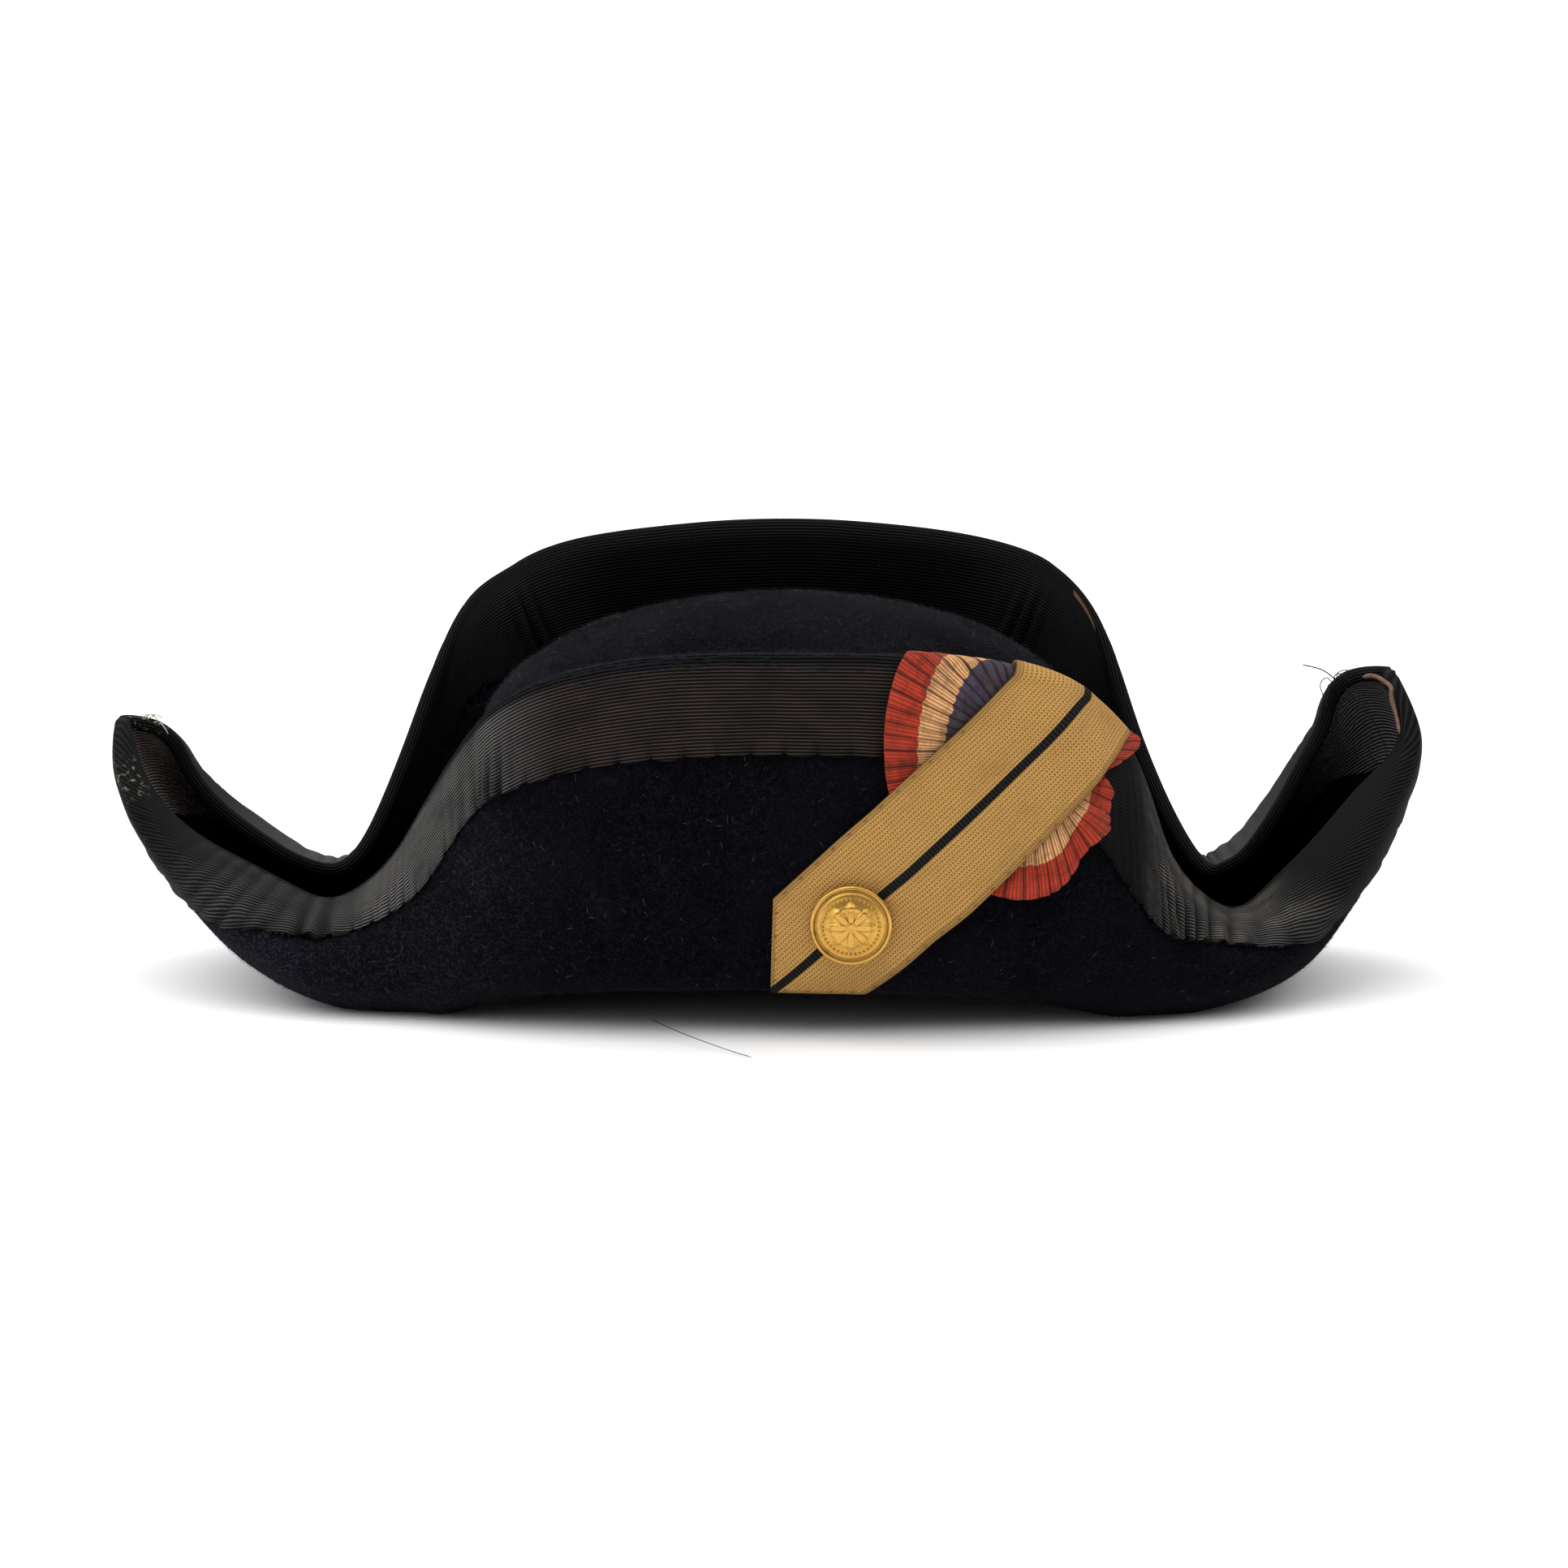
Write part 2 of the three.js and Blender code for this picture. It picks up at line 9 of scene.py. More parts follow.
import bpy
import numpy as np
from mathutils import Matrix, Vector


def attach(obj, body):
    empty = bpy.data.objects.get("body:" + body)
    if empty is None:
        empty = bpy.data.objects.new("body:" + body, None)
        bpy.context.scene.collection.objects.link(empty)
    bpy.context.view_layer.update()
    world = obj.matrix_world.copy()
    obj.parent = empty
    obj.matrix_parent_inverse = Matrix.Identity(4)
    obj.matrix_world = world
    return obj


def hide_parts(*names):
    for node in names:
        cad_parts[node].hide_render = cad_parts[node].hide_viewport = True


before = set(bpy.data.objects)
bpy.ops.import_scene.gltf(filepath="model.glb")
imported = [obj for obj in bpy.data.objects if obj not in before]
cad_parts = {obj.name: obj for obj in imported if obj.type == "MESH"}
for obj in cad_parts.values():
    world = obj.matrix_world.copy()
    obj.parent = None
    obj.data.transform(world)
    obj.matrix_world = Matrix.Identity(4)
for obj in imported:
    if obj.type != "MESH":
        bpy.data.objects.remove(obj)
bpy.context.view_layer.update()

bl_info = {
    "name": "Bicorne Hat",
    "version": (1, 0, 0),
    "blender": (4, 5, 0),
    "location": "View3D > Sidebar > Hat",
    "description": "Felt bicorne with ribbon, cockade, lace strap and button",
    "category": "Add Mesh",
}

MM = 0.001
CROWN_AT = np.array([5.431, 2.205, 0.0])  # the crown's middle in the frame; the form is made round it

# Crown and head opening
CROWN_LENGTH = 198.0
CROWN_WIDTH = 165.0
CROWN_HEIGHT = 126.0
DOME_RISE = 48.0
FELT = 2.2

# Brim
BRIM_ROOM = 11.6
LEFT_HORN = 118.0
RIGHT_HORN = 106.0
HORN_RISE = 100.0
ARCH_RISE = 14.0
FRONT_RISE = 101.0
REAR_RISE = 121.0
BELLY_RISE = 13.0
BASE_LIFT = 1.5
FLAT = 0.78
FLOOR_ROUND = 0.25

# Ribbon
RIBBON_WIDTH = 29.0
RIBBON = 1.0
FIT_GAP = 0.3

# Cockade
COCKADE_RADIUS = 44.0
COCKADE_HOLE = 11.0
COCKADE_CLOTH = 1.0
COCKADE_STAND = 1.3
COCKADE_DROP = 22.0
COCKADE_ALONG = 74.0

# Lace strap
STRAP_WIDTH = 42.5
STRAP = 1.2
STRAP_STAND = 1.1
STRAP_SLANT = math.radians(43)
STRAP_REACH = 107.0
STRAP_TUCK = 26.0
STRAP_RAMP = 20.0
STRAP_SLIDE = 2.4  # how far the strap shifts along the edge inside, and over what length
STRAP_SLIDE_OVER = 12.0

# Button
BUTTON_DIAMETER = 25.0
BUTTON_HEIGHT = 4.6
BUTTON_UP = 33.2

HALF_LENGTH = (CROWN_LENGTH - FELT) / 2
HALF_WIDTH = (CROWN_WIDTH - FELT) / 2
HALF_DEPTH = HALF_WIDTH + BRIM_ROOM
WALL_TOP = CROWN_HEIGHT - FELT / 2 - DOME_RISE
SKIN = FELT / 2 + FIT_GAP
RIBBON_TOP = SKIN + RIBBON

# Sections of the brim from the left tip to the right one, as shares of the sizes above.
COLUMNS = (
    "crown", "horn", "root", "angle", "keel", "arch", "lean", "belly",
    "front", "front_in", "rear", "rear_in", "turn", "bound",
)  # fmt: skip
SECTIONS = np.array(
    [
        (-1.0, 0.985, 0.985, 0, 0.855, 0, 95, 0.15, 0.03, 0.13, 0.125, 0.11, 0.9, 1),  # left tip
        (-1.0, 0.985, 0.985, 0, 0.68, 0, 80, 0.25, 0.07, 0.2, 0.135, 0.14, 0.95, 1),
        (-1.0, 0.9, 0.9, 0, 0.47, 0, 61, 0.4, 0.12, 0.27, 0.14, 0.17, 0.95, 1),
        (-1.0, 0.755, 0.755, 0, 0.24, 0, 42, 0.52, 0.23, 0.33, 0.185, 0.19, 0.92, 0.95),
        (-1.0, 0.585, 0.585, 0, 0.1, 0, 22, 0.63, 0.26, 0.36, 0.193, 0.24, 0.83, 0.88),
        (-1.0, 0.39, 0.39, 0, 0.022, 0, 4, 0.71, 0.275, 0.39, 0.243, 0.38, 0.85, 0.8),  # left dip
        (-1.0, 0.2, 0.16, 0, 0.0, 0, 0, 0.74, 0.465, 0.53, 0.68, 0.7, 0.9, 0.75),
        (-1.0, 0.09, 0, 0, 0.01, 0, 0, 0.79, 0.67, 0.69, 0.91, 0.86, 0.9, 0.9),
        (-0.97, 0, 0, 24, 0, 0.42, 0, 0.86, 0.84, 0.81, 0.95, 0.95, 0.9, 0.85),  # left corner
        (-0.78, 0, 0, 45, 0, 0.8, 0, 0.94, 0.95, 0.92, 0.98, 1.01, 0.9, 0.95),
        (-0.43, 0, 0, 67, 0, 1.04, 0, 1.0, 1.005, 0.99, 0.995, 1.04, 0.9, 1),
        (0, 0, 0, 90, 0, 1.08, 0, 1.0, 1.015, 1.0, 1.01, 1.05, 0.9, 1),  # middle
        (0.43, 0, 0, 113, 0, 0.95, 0, 1.0, 1.02, 0.99, 1.005, 1.04, 0.9, 1),
        (0.78, 0, 0, 135, 0, 0.67, 0, 0.95, 0.995, 0.905, 0.99, 1.01, 0.9, 1.05),
        (0.97, 0, 0, 156, 0, 0.27, 0, 0.88, 0.925, 0.77, 0.965, 0.95, 0.9, 1.35),  # right corner
        (1.0, 0.1, 0, 180, 0, 0, 0, 0.83, 0.79, 0.64, 0.85, 0.86, 0.9, 1.6),
        (1.0, 0.21, 0.17, 180, 0.0, 0, 0, 0.79, 0.46, 0.5, 0.555, 0.7, 0.9, 1.15),
        (1.0, 0.4, 0.4, 180, 0.03, 0, -4, 0.73, 0.25, 0.39, 0.217, 0.38, 0.84, 0.85),  # right dip
        (1.0, 0.57, 0.57, 180, 0.065, 0, -25, 0.64, 0.235, 0.36, 0.225, 0.24, 0.94, 0.88),
        (1.0, 0.73, 0.73, 180, 0.15, 0, -45, 0.52, 0.27, 0.33, 0.255, 0.19, 0.98, 0.95),
        (1.0, 0.88, 0.88, 180, 0.37, 0, -63, 0.41, 0.23, 0.28, 0.265, 0.16, 1, 1),
        (1.0, 0.972, 0.972, 180, 0.6, 0, -73, 0.31, 0.16, 0.22, 0.255, 0.15, 1, 1),
        (1.0, 1.0, 1.0, 180, 0.8, 0, -79, 0.22, 0.03, 0.17, 0.212, 0.15, 1, 1),
        (1.0, 0.915, 0.915, 180, 1.02, 0, -88, 0.15, 0.02, 0.13, 0.165, 0.12, 1, 1),  # right tip
    ]
)
LAST = len(SECTIONS) - 1
ANGLES = SECTIONS[:, COLUMNS.index("angle")]
LEFT_END = int(np.flatnonzero(ANGLES == 0)[-1])
RIGHT_END = int(np.flatnonzero(ANGLES == 180)[0])
MIDDLE = int(np.flatnonzero(ANGLES == 90)[0])
FRONT = -1
REAR = 1
SIDES = (FRONT, REAR)
TAPS = ((-0.5, 1), (-0.25, 2), (0, 3), (0.25, 2), (0.5, 1))
TIP_ROWS = 1.1  # how far each tip's rounding goes, in rows
PLACE_STEP = 0.02  # a short step from place to place
LINE_STEPS = 40  # points on each of the four parts of a section's line
MEASURED_AT = 128  # the point of each line where lengths along the front flap are taken

# Loose threads along the front edge: how many, the points that each is drawn through, and its rings.
LOOSE_THREADS = 16
LOOSE_POINTS = 26
LOOSE_STEPS = 60

# The stray thread under the hat, in the frame.
STRAY = ((-36, -88, 6.5), (-24, -96, 3.2), (-10, -107, 0.8), (-4, -113, 0.5))
# Frayed threads at the right tip: place on the rear edge, the thread's radius, and steps from there.
FRAYS = (
    (22.55, 0.22, ((-2, -2, 3), (-6, -3, 6), (-13, -4, 8))),
    (22.6, 0.2, ((1, -3, 4), (5, -5, 6), (10, -5, 6.5))),
    (22.55, 0.2, ((-2, -3, 4), (0, -5, 5), (3, -6, 2))),
    (22.5, 0.2, ((-3, -2, 1), (-5, -4, -3), (-6, -5, -9))),
    (22.5, 0.18, ((-3, -3, 2), (-4, -4, 0), (-4, -5, -6))),
    (22.6, 0.2, ((4, -8, -3), (8, -13, -11), (8, -16, -21), (15, -16, -26))),
    (22.6, 0.18, ((6, -8, -6), (12, -14, -16), (14, -17, -28))),
    (22.55, 0.18, ((-1, -3, 5), (2, -4, 6), (5, -4, 3))),
    (22.5, 0.18, ((-4, -2, 4), (-6, -3, 2), (-5, -4, -2))),
)

# The brown edge that shows through the worn ribbon at the right tip: from and to on the front
# edge, to on the rear edge, its shift there, its drop below the front edge, and its radius.
BARE_PLACES = (22.08, 22.74)
BARE_REAR = 22.9
BARE_SHIFT = (-0.4, -3.0, -0.3)
BARE_DROP = 1.4
BARE_RADIUS = 0.8

# Pale threads worn out of the left tip, in the columns of the frayed ones, and their shift off the edge.
PALE_SHIFT = (0, -1.5, 1.6)
PALE_FRAYS = (
    (0.1, 0.2, ((1.5, -1, 1.8), (4, -1.5, 2.2), (6.5, -1, 0.8))),
    (0.15, 0.2, ((-1.5, -1.5, 1), (-0.5, -2, 2.6), (2.5, -2, 2.4))),
    (0.2, 0.2, ((2, -2, 1), (1, -2.5, 2.6), (-1.5, -2, 1.6))),
    (0.3, 0.2, ((1, -2, 1.2), (2.5, -2.5, -0.5), (3.4, -2, -2.5))),
    (0.3, 0.2, ((-2, -2, 0.8), (-3, -3, -0.6), (-4.5, -3, 0.4))),
)

PER_SQUARE_METRE = 1e6  # square millimetres in one
FIBRE_WIDTH = 3.6e-5
NAP_SEEDS = {"nap": 3, "lint": 4}
# Parts of the nap: name, the way that the felt faces there, from and to along the hat in metres,
# share of the full density, how far the fibres lie over, and their material.
NAP_PARTS = (
    ("nap_front_left", (0, -1, 0), -1.0, -0.05, 1.0, 1.46, "nap"),
    ("nap_front_middle", (0, -1, 0), -0.05, 0.04, 1.0, 1.46, "nap"),
    ("nap_front_right", (0, -1, 0), 0.04, 1.0, 1.0, 1.46, "nap"),
    ("nap_top", (0, 0, 1), -1.0, 1.0, 0.65, 1.3, "nap"),
    ("nap_rear", (0, 1, 0), -1.0, 1.0, 0.4, 1.46, "nap"),
    ("nap_right", (1, 0, 0), -1.0, 1.0, 0.35, 1.46, "nap"),
    ("nap_left", (-1, 0, 0), -1.0, 1.0, 0.35, 1.46, "nap"),
    ("lint_front", (0, -1, 0), -1.0, 1.0, 0.011, 1.46, "lint"),
    ("lint_top", (0, 0, 1), -1.0, 1.0, 0.008, 1.46, "lint"),
    ("lint_rear", (0, 1, 0), -1.0, 1.0, 0.006, 1.46, "lint"),
)

# Stitches along the ribbon's border, from one to the next, and both kinds' sizes in metres.
STITCH_PITCH = 10.0
STITCH = {"Length": 0.003, "Width": 0.00045}
STRAP_STITCH = {"Length": 0.0016, "Width": 0.0003}

# Groups of folds: middle along the edge, half width, pitch, height, share of it at the edge, and slant.
FRONT_FOLDS = (
    (-92, 7, 4.6, 2.9, 0.02, 0.0),
    (-106, 16, 6.0, 0.6, 0.3, 0.1),
    (-194, 9, 9.0, 2.2, 0.5, 0.0),
    (-222, 20, 6.0, 0.7, 0.9, -0.1),
    (-160, 18, 5.0, 0.4, 0.3, 0.0),
    (148, 17, 7.4, 1.5, 0.25, 0.3),
    (186, 22, 8.3, 2.1, 0.35, -0.15),
    (120, 20, 5.5, 0.5, 0.2, 0.2),
)
REAR_FOLDS = (
    (-98, 8, 5.4, 3.6, 0.02, 0.42),
    (93, 9, 5.4, 3.6, 0.02, -0.42),
    (-222, 18, 7.0, 1.1, 0.5, 0.0),
    (222, 22, 7.0, 1.1, 0.5, 0.0),
)

# Added to lengths along the rear edge in the ribbon's UVs, which tells its two edges apart.
REAR_SHIFT = 3000.0

# The cockade's rim: angle in degrees and radius as a share of the cockade's own.
COCKADE_RIM = np.array(
    [
        (-150, 1.0), (-118, 1.0), (-106, 0.99), (-92, 0.985), (-83, 0.965), (-77, 0.94), (-70, 0.885),
        (-64, 0.8), (-56, 0.735), (-48, 0.72), (-39, 0.675), (-30, 0.62), (-26, 0.555), (-21, 0.55),
        (-16, 0.65), (-12, 0.74), (-8, 0.785), (-4, 0.79), (0, 0.77), (5, 0.735), (12, 0.68),
        (20, 0.68), (35, 0.75), (60, 0.95), (90, 1.2), (105, 1.3), (120, 1.24), (131, 1.18),
        (141, 1.12), (157, 1.06), (169, 1.02), (180, 1.0),
    ]
)  # fmt: skip
COCKADE_PAST = 15.0  # how far the cockade's top goes over the flap's edge
PLEATS = 62

# The ring of beads: how many, their size in metres, their radius and height as shares of the button's
# diameter and height. Then the button's outline, as shares of its radius and height.
BEADS = 40
BEAD = 0.0009
BEADS_OUT = 0.35
BEADS_UP = 0.74
BUTTON_OUTLINE = (
    (0, 0), (0.8, 0), (0.97, 0.16), (1, 0.36), (0.98, 0.5), (0.92, 0.56), (0.87, 0.46),
    (0.7, 0.68), (0.45, 0.88), (0.2, 0.98), (0, 1),
)  # fmt: skip

# The stage's radius in metres and the backdrop's strength
ROOM = 11.0
BACKDROP_LIGHT = 1.1
# Soft suns: name, azimuth from the camera and height in degrees, width in degrees, and share of
# the floor's brightness.
SUNS = (
    ("left", -78, 46, 92, 0.5),
    ("top", 175, 80, 130, 0.8),
    ("right", 82, 46, 92, 0.2),
)


def mix(a, b, share):
    return a + (b - a) * share


def rise(value, start, end):
    share = np.clip((value - start) / (end - start), 0, 1)
    return share * share * (3 - 2 * share)


def hill(value, middle, width):
    """A smooth bump of height 1."""
    return np.exp(-(((value - middle) / width) ** 2))


def unit(vectors):
    return vectors / np.maximum(np.linalg.norm(vectors, axis=-1, keepdims=True), 1e-9)


def waves(points, pitch, seed, count=6):
    """Smooth unevenness from -1 to 1 over points, with bumps about a pitch across."""
    rng = np.random.default_rng(seed)
    total = 0
    for _ in range(count):
        direction = unit(rng.normal(size=3)) * rng.uniform(0.6, 1.4)
        total = total + np.sin(points @ direction * (2 * math.pi / pitch) + rng.uniform(0, 6.28))
    return total / count


def between(column, place):
    """A column of the table at places between its rows, on smooth curves through the rows."""
    values = SECTIONS[:, COLUMNS.index(column)]
    i = np.minimum(np.floor(place).astype(int), LAST - 1)
    f = place - i
    here, after = values[i], values[i + 1]
    before = np.where(i > 0, values[np.maximum(i - 1, 0)], 2 * here - after)
    beyond = np.where(i + 2 <= LAST, values[np.minimum(i + 2, LAST)], 2 * after - here)
    return 0.5 * (
        2 * here
        + (after - before) * f
        + (2 * before - 5 * here + 4 * after - beyond) * f**2
        + (3 * here - before - 3 * after + beyond) * f**3
    )


def eased(column, place):
    """A column of the table with its kinks smoothed, because felt bends gently."""
    if column in ("angle", "root"):
        return between(column, place)
    return sum(share * between(column, np.clip(place + step, 0, LAST)) for step, share in TAPS) / 9


def tip_round(place):
    """From 0 at a horn's tip to 1 where the tip's rounding ends."""
    share = np.clip(np.minimum(place, LAST - place) / TIP_ROWS, 0, 1)
    return np.sqrt(1 - (1 - share) ** 2)


def section_controls(place, side):
    """Five points of each section, from the crown or keel out to the edge."""
    s = {name: eased(name, place) for name in COLUMNS}
    tip = tip_round(place)
    in_horn = (place < LEFT_END) | (place > RIGHT_END)
    left = place < LAST / 2
    horn = np.where(left, -LEFT_HORN, RIGHT_HORN)
    angle = np.radians(np.where(in_horn, np.where(left, 0, 180), np.clip(s["angle"], 0, 180)))
    lean = np.radians(np.where((place > LEFT_END) & (place < RIGHT_END), 0, s["lean"]))
    wall_x = s["crown"] * HALF_LENGTH + np.maximum(0, s["horn"]) * horn
    root_x = -HALF_LENGTH * np.cos(angle) + np.where(in_horn, np.maximum(0, s["root"]) * horn, 0)
    floor = s["keel"] * HORN_RISE + s["arch"] * ARCH_RISE
    belly = s["belly"] * HALF_DEPTH * tip
    height = (s["front"] * FRONT_RISE if side == FRONT else s["rear"] * REAR_RISE) * tip
    edge = (s["front_in"] if side == FRONT else s["rear_in"]) * HALF_DEPTH * tip
    curl = np.clip((belly - edge) / np.maximum(belly, 0.01), 0, 1)
    root_depth = HALF_WIDTH * np.sin(angle)
    belly_rise = np.minimum(BELLY_RISE, 0.42 * height)
    rounding = FLOOR_ROUND * height * np.abs(np.sin(lean))
    lift = 0.82 - 0.2 * curl if side == FRONT else s["turn"]
    flat = mix(FLAT, FLAT / 2, np.sin(angle))

    def rested(x, depth, z):
        return np.stack([x, side * depth, np.maximum(z, FELT / 2)], -1)

    def leaning(x, depth, up):
        return rested(x + up * np.sin(lean), depth, floor + up * np.cos(lean))

    return np.stack(
        [
            rested(root_x, root_depth, floor + BASE_LIFT * np.sin(angle)),
            leaning(mix(root_x, wall_x, flat), mix(root_depth, belly, flat), rounding),
            leaning(wall_x, belly, belly_rise + rounding / 2),
            leaning(wall_x, mix(edge, belly, 0.75), height * lift),
            leaning(wall_x, edge, height),
        ],
        1,
    )


def smooth_lines(controls, steps=LINE_STEPS):
    """Centripetal curves through the controls, as lines of many points."""
    ends = [2 * controls[:, :1] - controls[:, 1:2], 2 * controls[:, -1:] - controls[:, -2:-1]]
    p = np.concatenate([ends[0], controls, ends[1]], 1)
    gaps = np.linalg.norm(np.diff(p, axis=1), axis=-1) ** 0.5
    parts = []
    for k in range(controls.shape[1] - 1):
        p0, p1, p2, p3 = (p[:, k + i, None] for i in range(4))
        d0, d1, d2 = (gaps[:, k + i, None, None] for i in range(3))
        d1 = np.where(d1 < 1e-4, 1.0, d1)
        d0 = np.where(d0 < 1e-4, d1, d0)
        d2 = np.where(d2 < 1e-4, d1, d2)
        t1 = ((p1 - p0) / d0 - (p2 - p0) / (d0 + d1) + (p2 - p1) / d1) * d1
        t2 = ((p2 - p1) / d1 - (p3 - p1) / (d1 + d2) + (p3 - p2) / d2) * d1
        last = k == controls.shape[1] - 2
        t = np.linspace(0, 1, steps + 1)[None, :, None] if last else np.arange(steps)[None, :, None] / steps
        parts.append(
            p1 + t1 * t + (3 * (p2 - p1) - 2 * t1 - t2) * t**2 + (2 * (p1 - p2) + t1 + t2) * t**3
        )
    return np.concatenate(parts, 1)


class Sections:
    """The brim's section lines at many places, read by the distance from the edge."""

    def __init__(self, place, side):
        self.place = np.asarray(place, float)
        self.side = side
        self.lines = smooth_lines(section_controls(self.place, side))
        steps = np.linalg.norm(np.diff(self.lines, axis=1), axis=-1)
        self.reach = np.concatenate([np.zeros((len(steps), 1)), np.cumsum(steps, 1)], 1)
        self.length = self.reach[:, -1]

    def at(self, distance):
        """Points at distances from the edge, one row of distances for each place."""
        distance = np.broadcast_to(distance, (len(self.place), np.shape(distance)[-1]))
        wanted = np.clip(self.length[:, None] - distance, 0, None)
        points = np.empty(wanted.shape + (3,))
        for i, line in enumerate(self.lines):
            for k in range(3):
                points[i, :, k] = np.interp(wanted[i], self.reach[i], line[:, k])
        points[..., 2] = np.maximum(points[..., 2], FELT / 2)
        return points


def arc(points):
    """Length along a line of points, at each of them."""
    return np.concatenate([[0], np.cumsum(np.linalg.norm(np.diff(points, axis=0), axis=-1))])


def even_places(step):
    """Places that are a step or less apart on both edges, with the two ends of the crown."""
    fine = LAST * (0.5 - 0.5 * np.cos(np.linspace(0, math.pi, 3000)))
    edges = [arc(section_controls(fine, side)[:, -1]) for side in SIDES]
    reach = np.concatenate([[0], np.cumsum(np.maximum(*(np.diff(edge) for edge in edges)))])
    places = np.interp(np.linspace(0, reach[-1], int(reach[-1] / step) + 1), reach, fine)
    ends = np.array([LEFT_END, RIGHT_END])
    clear = np.abs(places[:, None] - ends).min(1) > 0.01
    return np.sort(np.concatenate([places[clear], ends]))


def nearest_edge(away, tip):
    """Distance from the edge, which also runs round the tip."""
    return (np.maximum(away, 0.01) ** -4.0 + np.maximum(tip, 0.01) ** -4.0) ** -0.25


def uneven(points):
    """Points of the brim and crown, moved by the old felt's unevenness."""
    flat = points.reshape(-1, 3)
    out = unit(flat * [0.45, 1.0, 0.35] - [0, 0, 12])
    low = rise(flat[:, 2], 4, 30)
    height = (0.9 * waves(flat, 90, 3) + 0.35 * waves(flat, 34, 4)) * low
    return (flat + out * height[:, None]).reshape(points.shape)


class Brim(Sections):
    """One side of the brim, from the left tip to the right one."""

    def __init__(self, place, side):
        super().__init__(place, side)
        along = arc(self.lines[:, -1])
        self.along = along - np.interp(MIDDLE, place, along)
        keel = arc(self.lines[:, 0])
        self.tip = np.minimum(keel, keel[-1] - keel)
        corners = hill(place, 8.3, 1.2) + hill(place, 13.8, 1.2)
        share = eased("bound", place) if side == FRONT else 1 + 0.28 * corners
        wide = np.minimum(RIBBON_WIDTH * share, self.length)
        over_tip = (18, 34) if side == FRONT else (26, 48)
        self.bound = np.minimum(mix(self.length, wide, rise(self.tip, *over_tip)), self.length)

    def grid(self, away):
        """Points at distances from the edge, with lengths along it and away from it."""
        near = nearest_edge(away, self.tip[:, None])
        along = np.broadcast_to(self.along[:, None], away.shape)
        return uneven(self.at(away)), np.stack([along, near], -1)


def rounded(points):
    """Points in whole thousandths, to find those at one place."""
    return np.round(points * 1e3).astype(np.int64)


class Skin:
    """A surface put together from grids. Corners at one place are one; each face keeps its UVs."""

    def __init__(self):
        self.grids = []

    def grid(self, points, uvs, notes=0.0, flip=False):
        self.grids.append((points, uvs, np.broadcast_to(notes, points.shape[:2]), flip))

    def join(self):
        starts, corners, coords, remarks, quads = 0, [], [], [], []
        for points, uvs, notes, flip in self.grids:
            n, m = points.shape[:2]
            index = starts + np.arange(n * m).reshape(n, m)
            quad = np.stack([index[:-1, :-1], index[1:, :-1], index[1:, 1:], index[:-1, 1:]], -1)
            if flip:
                quad = quad[..., ::-1]
            quads.append(quad.reshape(-1, 4))
            corners.append(points.reshape(-1, 3))
            coords.append(uvs.reshape(-1, 2))
            remarks.append(notes.reshape(-1))
            starts += n * m
        points, coords, remarks, quads = map(np.concatenate, (corners, coords, remarks, quads))
        _, first, where = np.unique(rounded(points), axis=0, return_index=True, return_inverse=True)
        self.points, self.notes = points[first], remarks[first]
        self.quads = where.reshape(-1)[quads]
        self.uvs = coords[quads]
        double = [self.quads == np.roll(self.quads, k, 1) for k in (1, 2)]
        flat = double[0].sum(1) + double[1].sum(1) // 2
        keep = flat <= 1
        self.quads, self.uvs = self.quads[keep], self.uvs[keep]
        return self

    def normals(self):
        p = self.points[self.quads]
        faces = np.cross(p[:, 2] - p[:, 0], p[:, 3] - p[:, 1])
        total = np.zeros_like(self.points)
        for k in range(4):
            np.add.at(total, self.quads[:, k], faces)
        return unit(total)

    def rim(self):
        """Sides that have a face on one side only, each as its two corners."""
        start = self.quads.reshape(-1)
        end = np.roll(self.quads, -1, 1).reshape(-1)
        start, end = start[start != end], end[start != end]
        count = len(self.points)
        single = np.setdiff1d(start * count + end, end * count + start)
        return np.stack([single // count, single % count], -1)

    def corner_uvs(self):
        """One UV for each corner."""
        found = np.zeros((len(self.points), 2))
        found[self.quads.reshape(-1)] = self.uvs.reshape(-1, 2)
        return found


class Solid:
    """Corners, faces and UVs of a closed piece, gathered part by part."""

    def __init__(self):
        self.points, self.faces, self.maps, self.count = [], [], [], 0

    def corners(self, points):
        start = self.count
        self.points.append(np.asarray(points))
        self.count += len(points)
        return start

    def quads(self, quads, maps):
        self.faces.append(np.asarray(quads))
        self.maps.append(np.asarray(maps, float))

    def piece(self, name, look, slot, node=None, **notes):
        """The part as an object. Notes are values for each corner that its material reads."""
        points = (np.concatenate(self.points) + CROWN_AT) * MM
        faces = np.concatenate(self.faces)
        maps = np.concatenate(self.maps)
        mesh = bpy.data.meshes.new(name)
        polygons, used = [], []
        for face, uv in zip(faces.tolist(), maps.tolist()):
            keep = [k for k in range(len(face)) if face[k] != face[k - 1]]
            if len(keep) > 2 and len({face[k] for k in keep}) == len(keep):
                polygons.append([face[k] for k in keep])
                used.extend(uv[k] for k in keep)
        mesh.from_pydata(points.tolist(), [], polygons)
        layer = mesh.uv_layers.new(name="cloth")
        layer.data.foreach_set("uv", np.asarray(used, np.float32).reshape(-1))
        mesh.update()
        mesh.validate()
        mesh.shade_smooth()
        for key, values in notes.items():
            mesh.attributes.new(key, "FLOAT", "POINT").data.foreach_set("value", values)
        mesh.materials.append(look)
        return place_piece(bpy.data.objects.new(name, mesh), node)


def place_piece(piece, node=None):
    """Link a finished piece and say what it rides on and the solid that it replaces."""
    bpy.context.collection.objects.link(piece)
    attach(piece, "root")
    if node:
        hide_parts(node)
    return piece


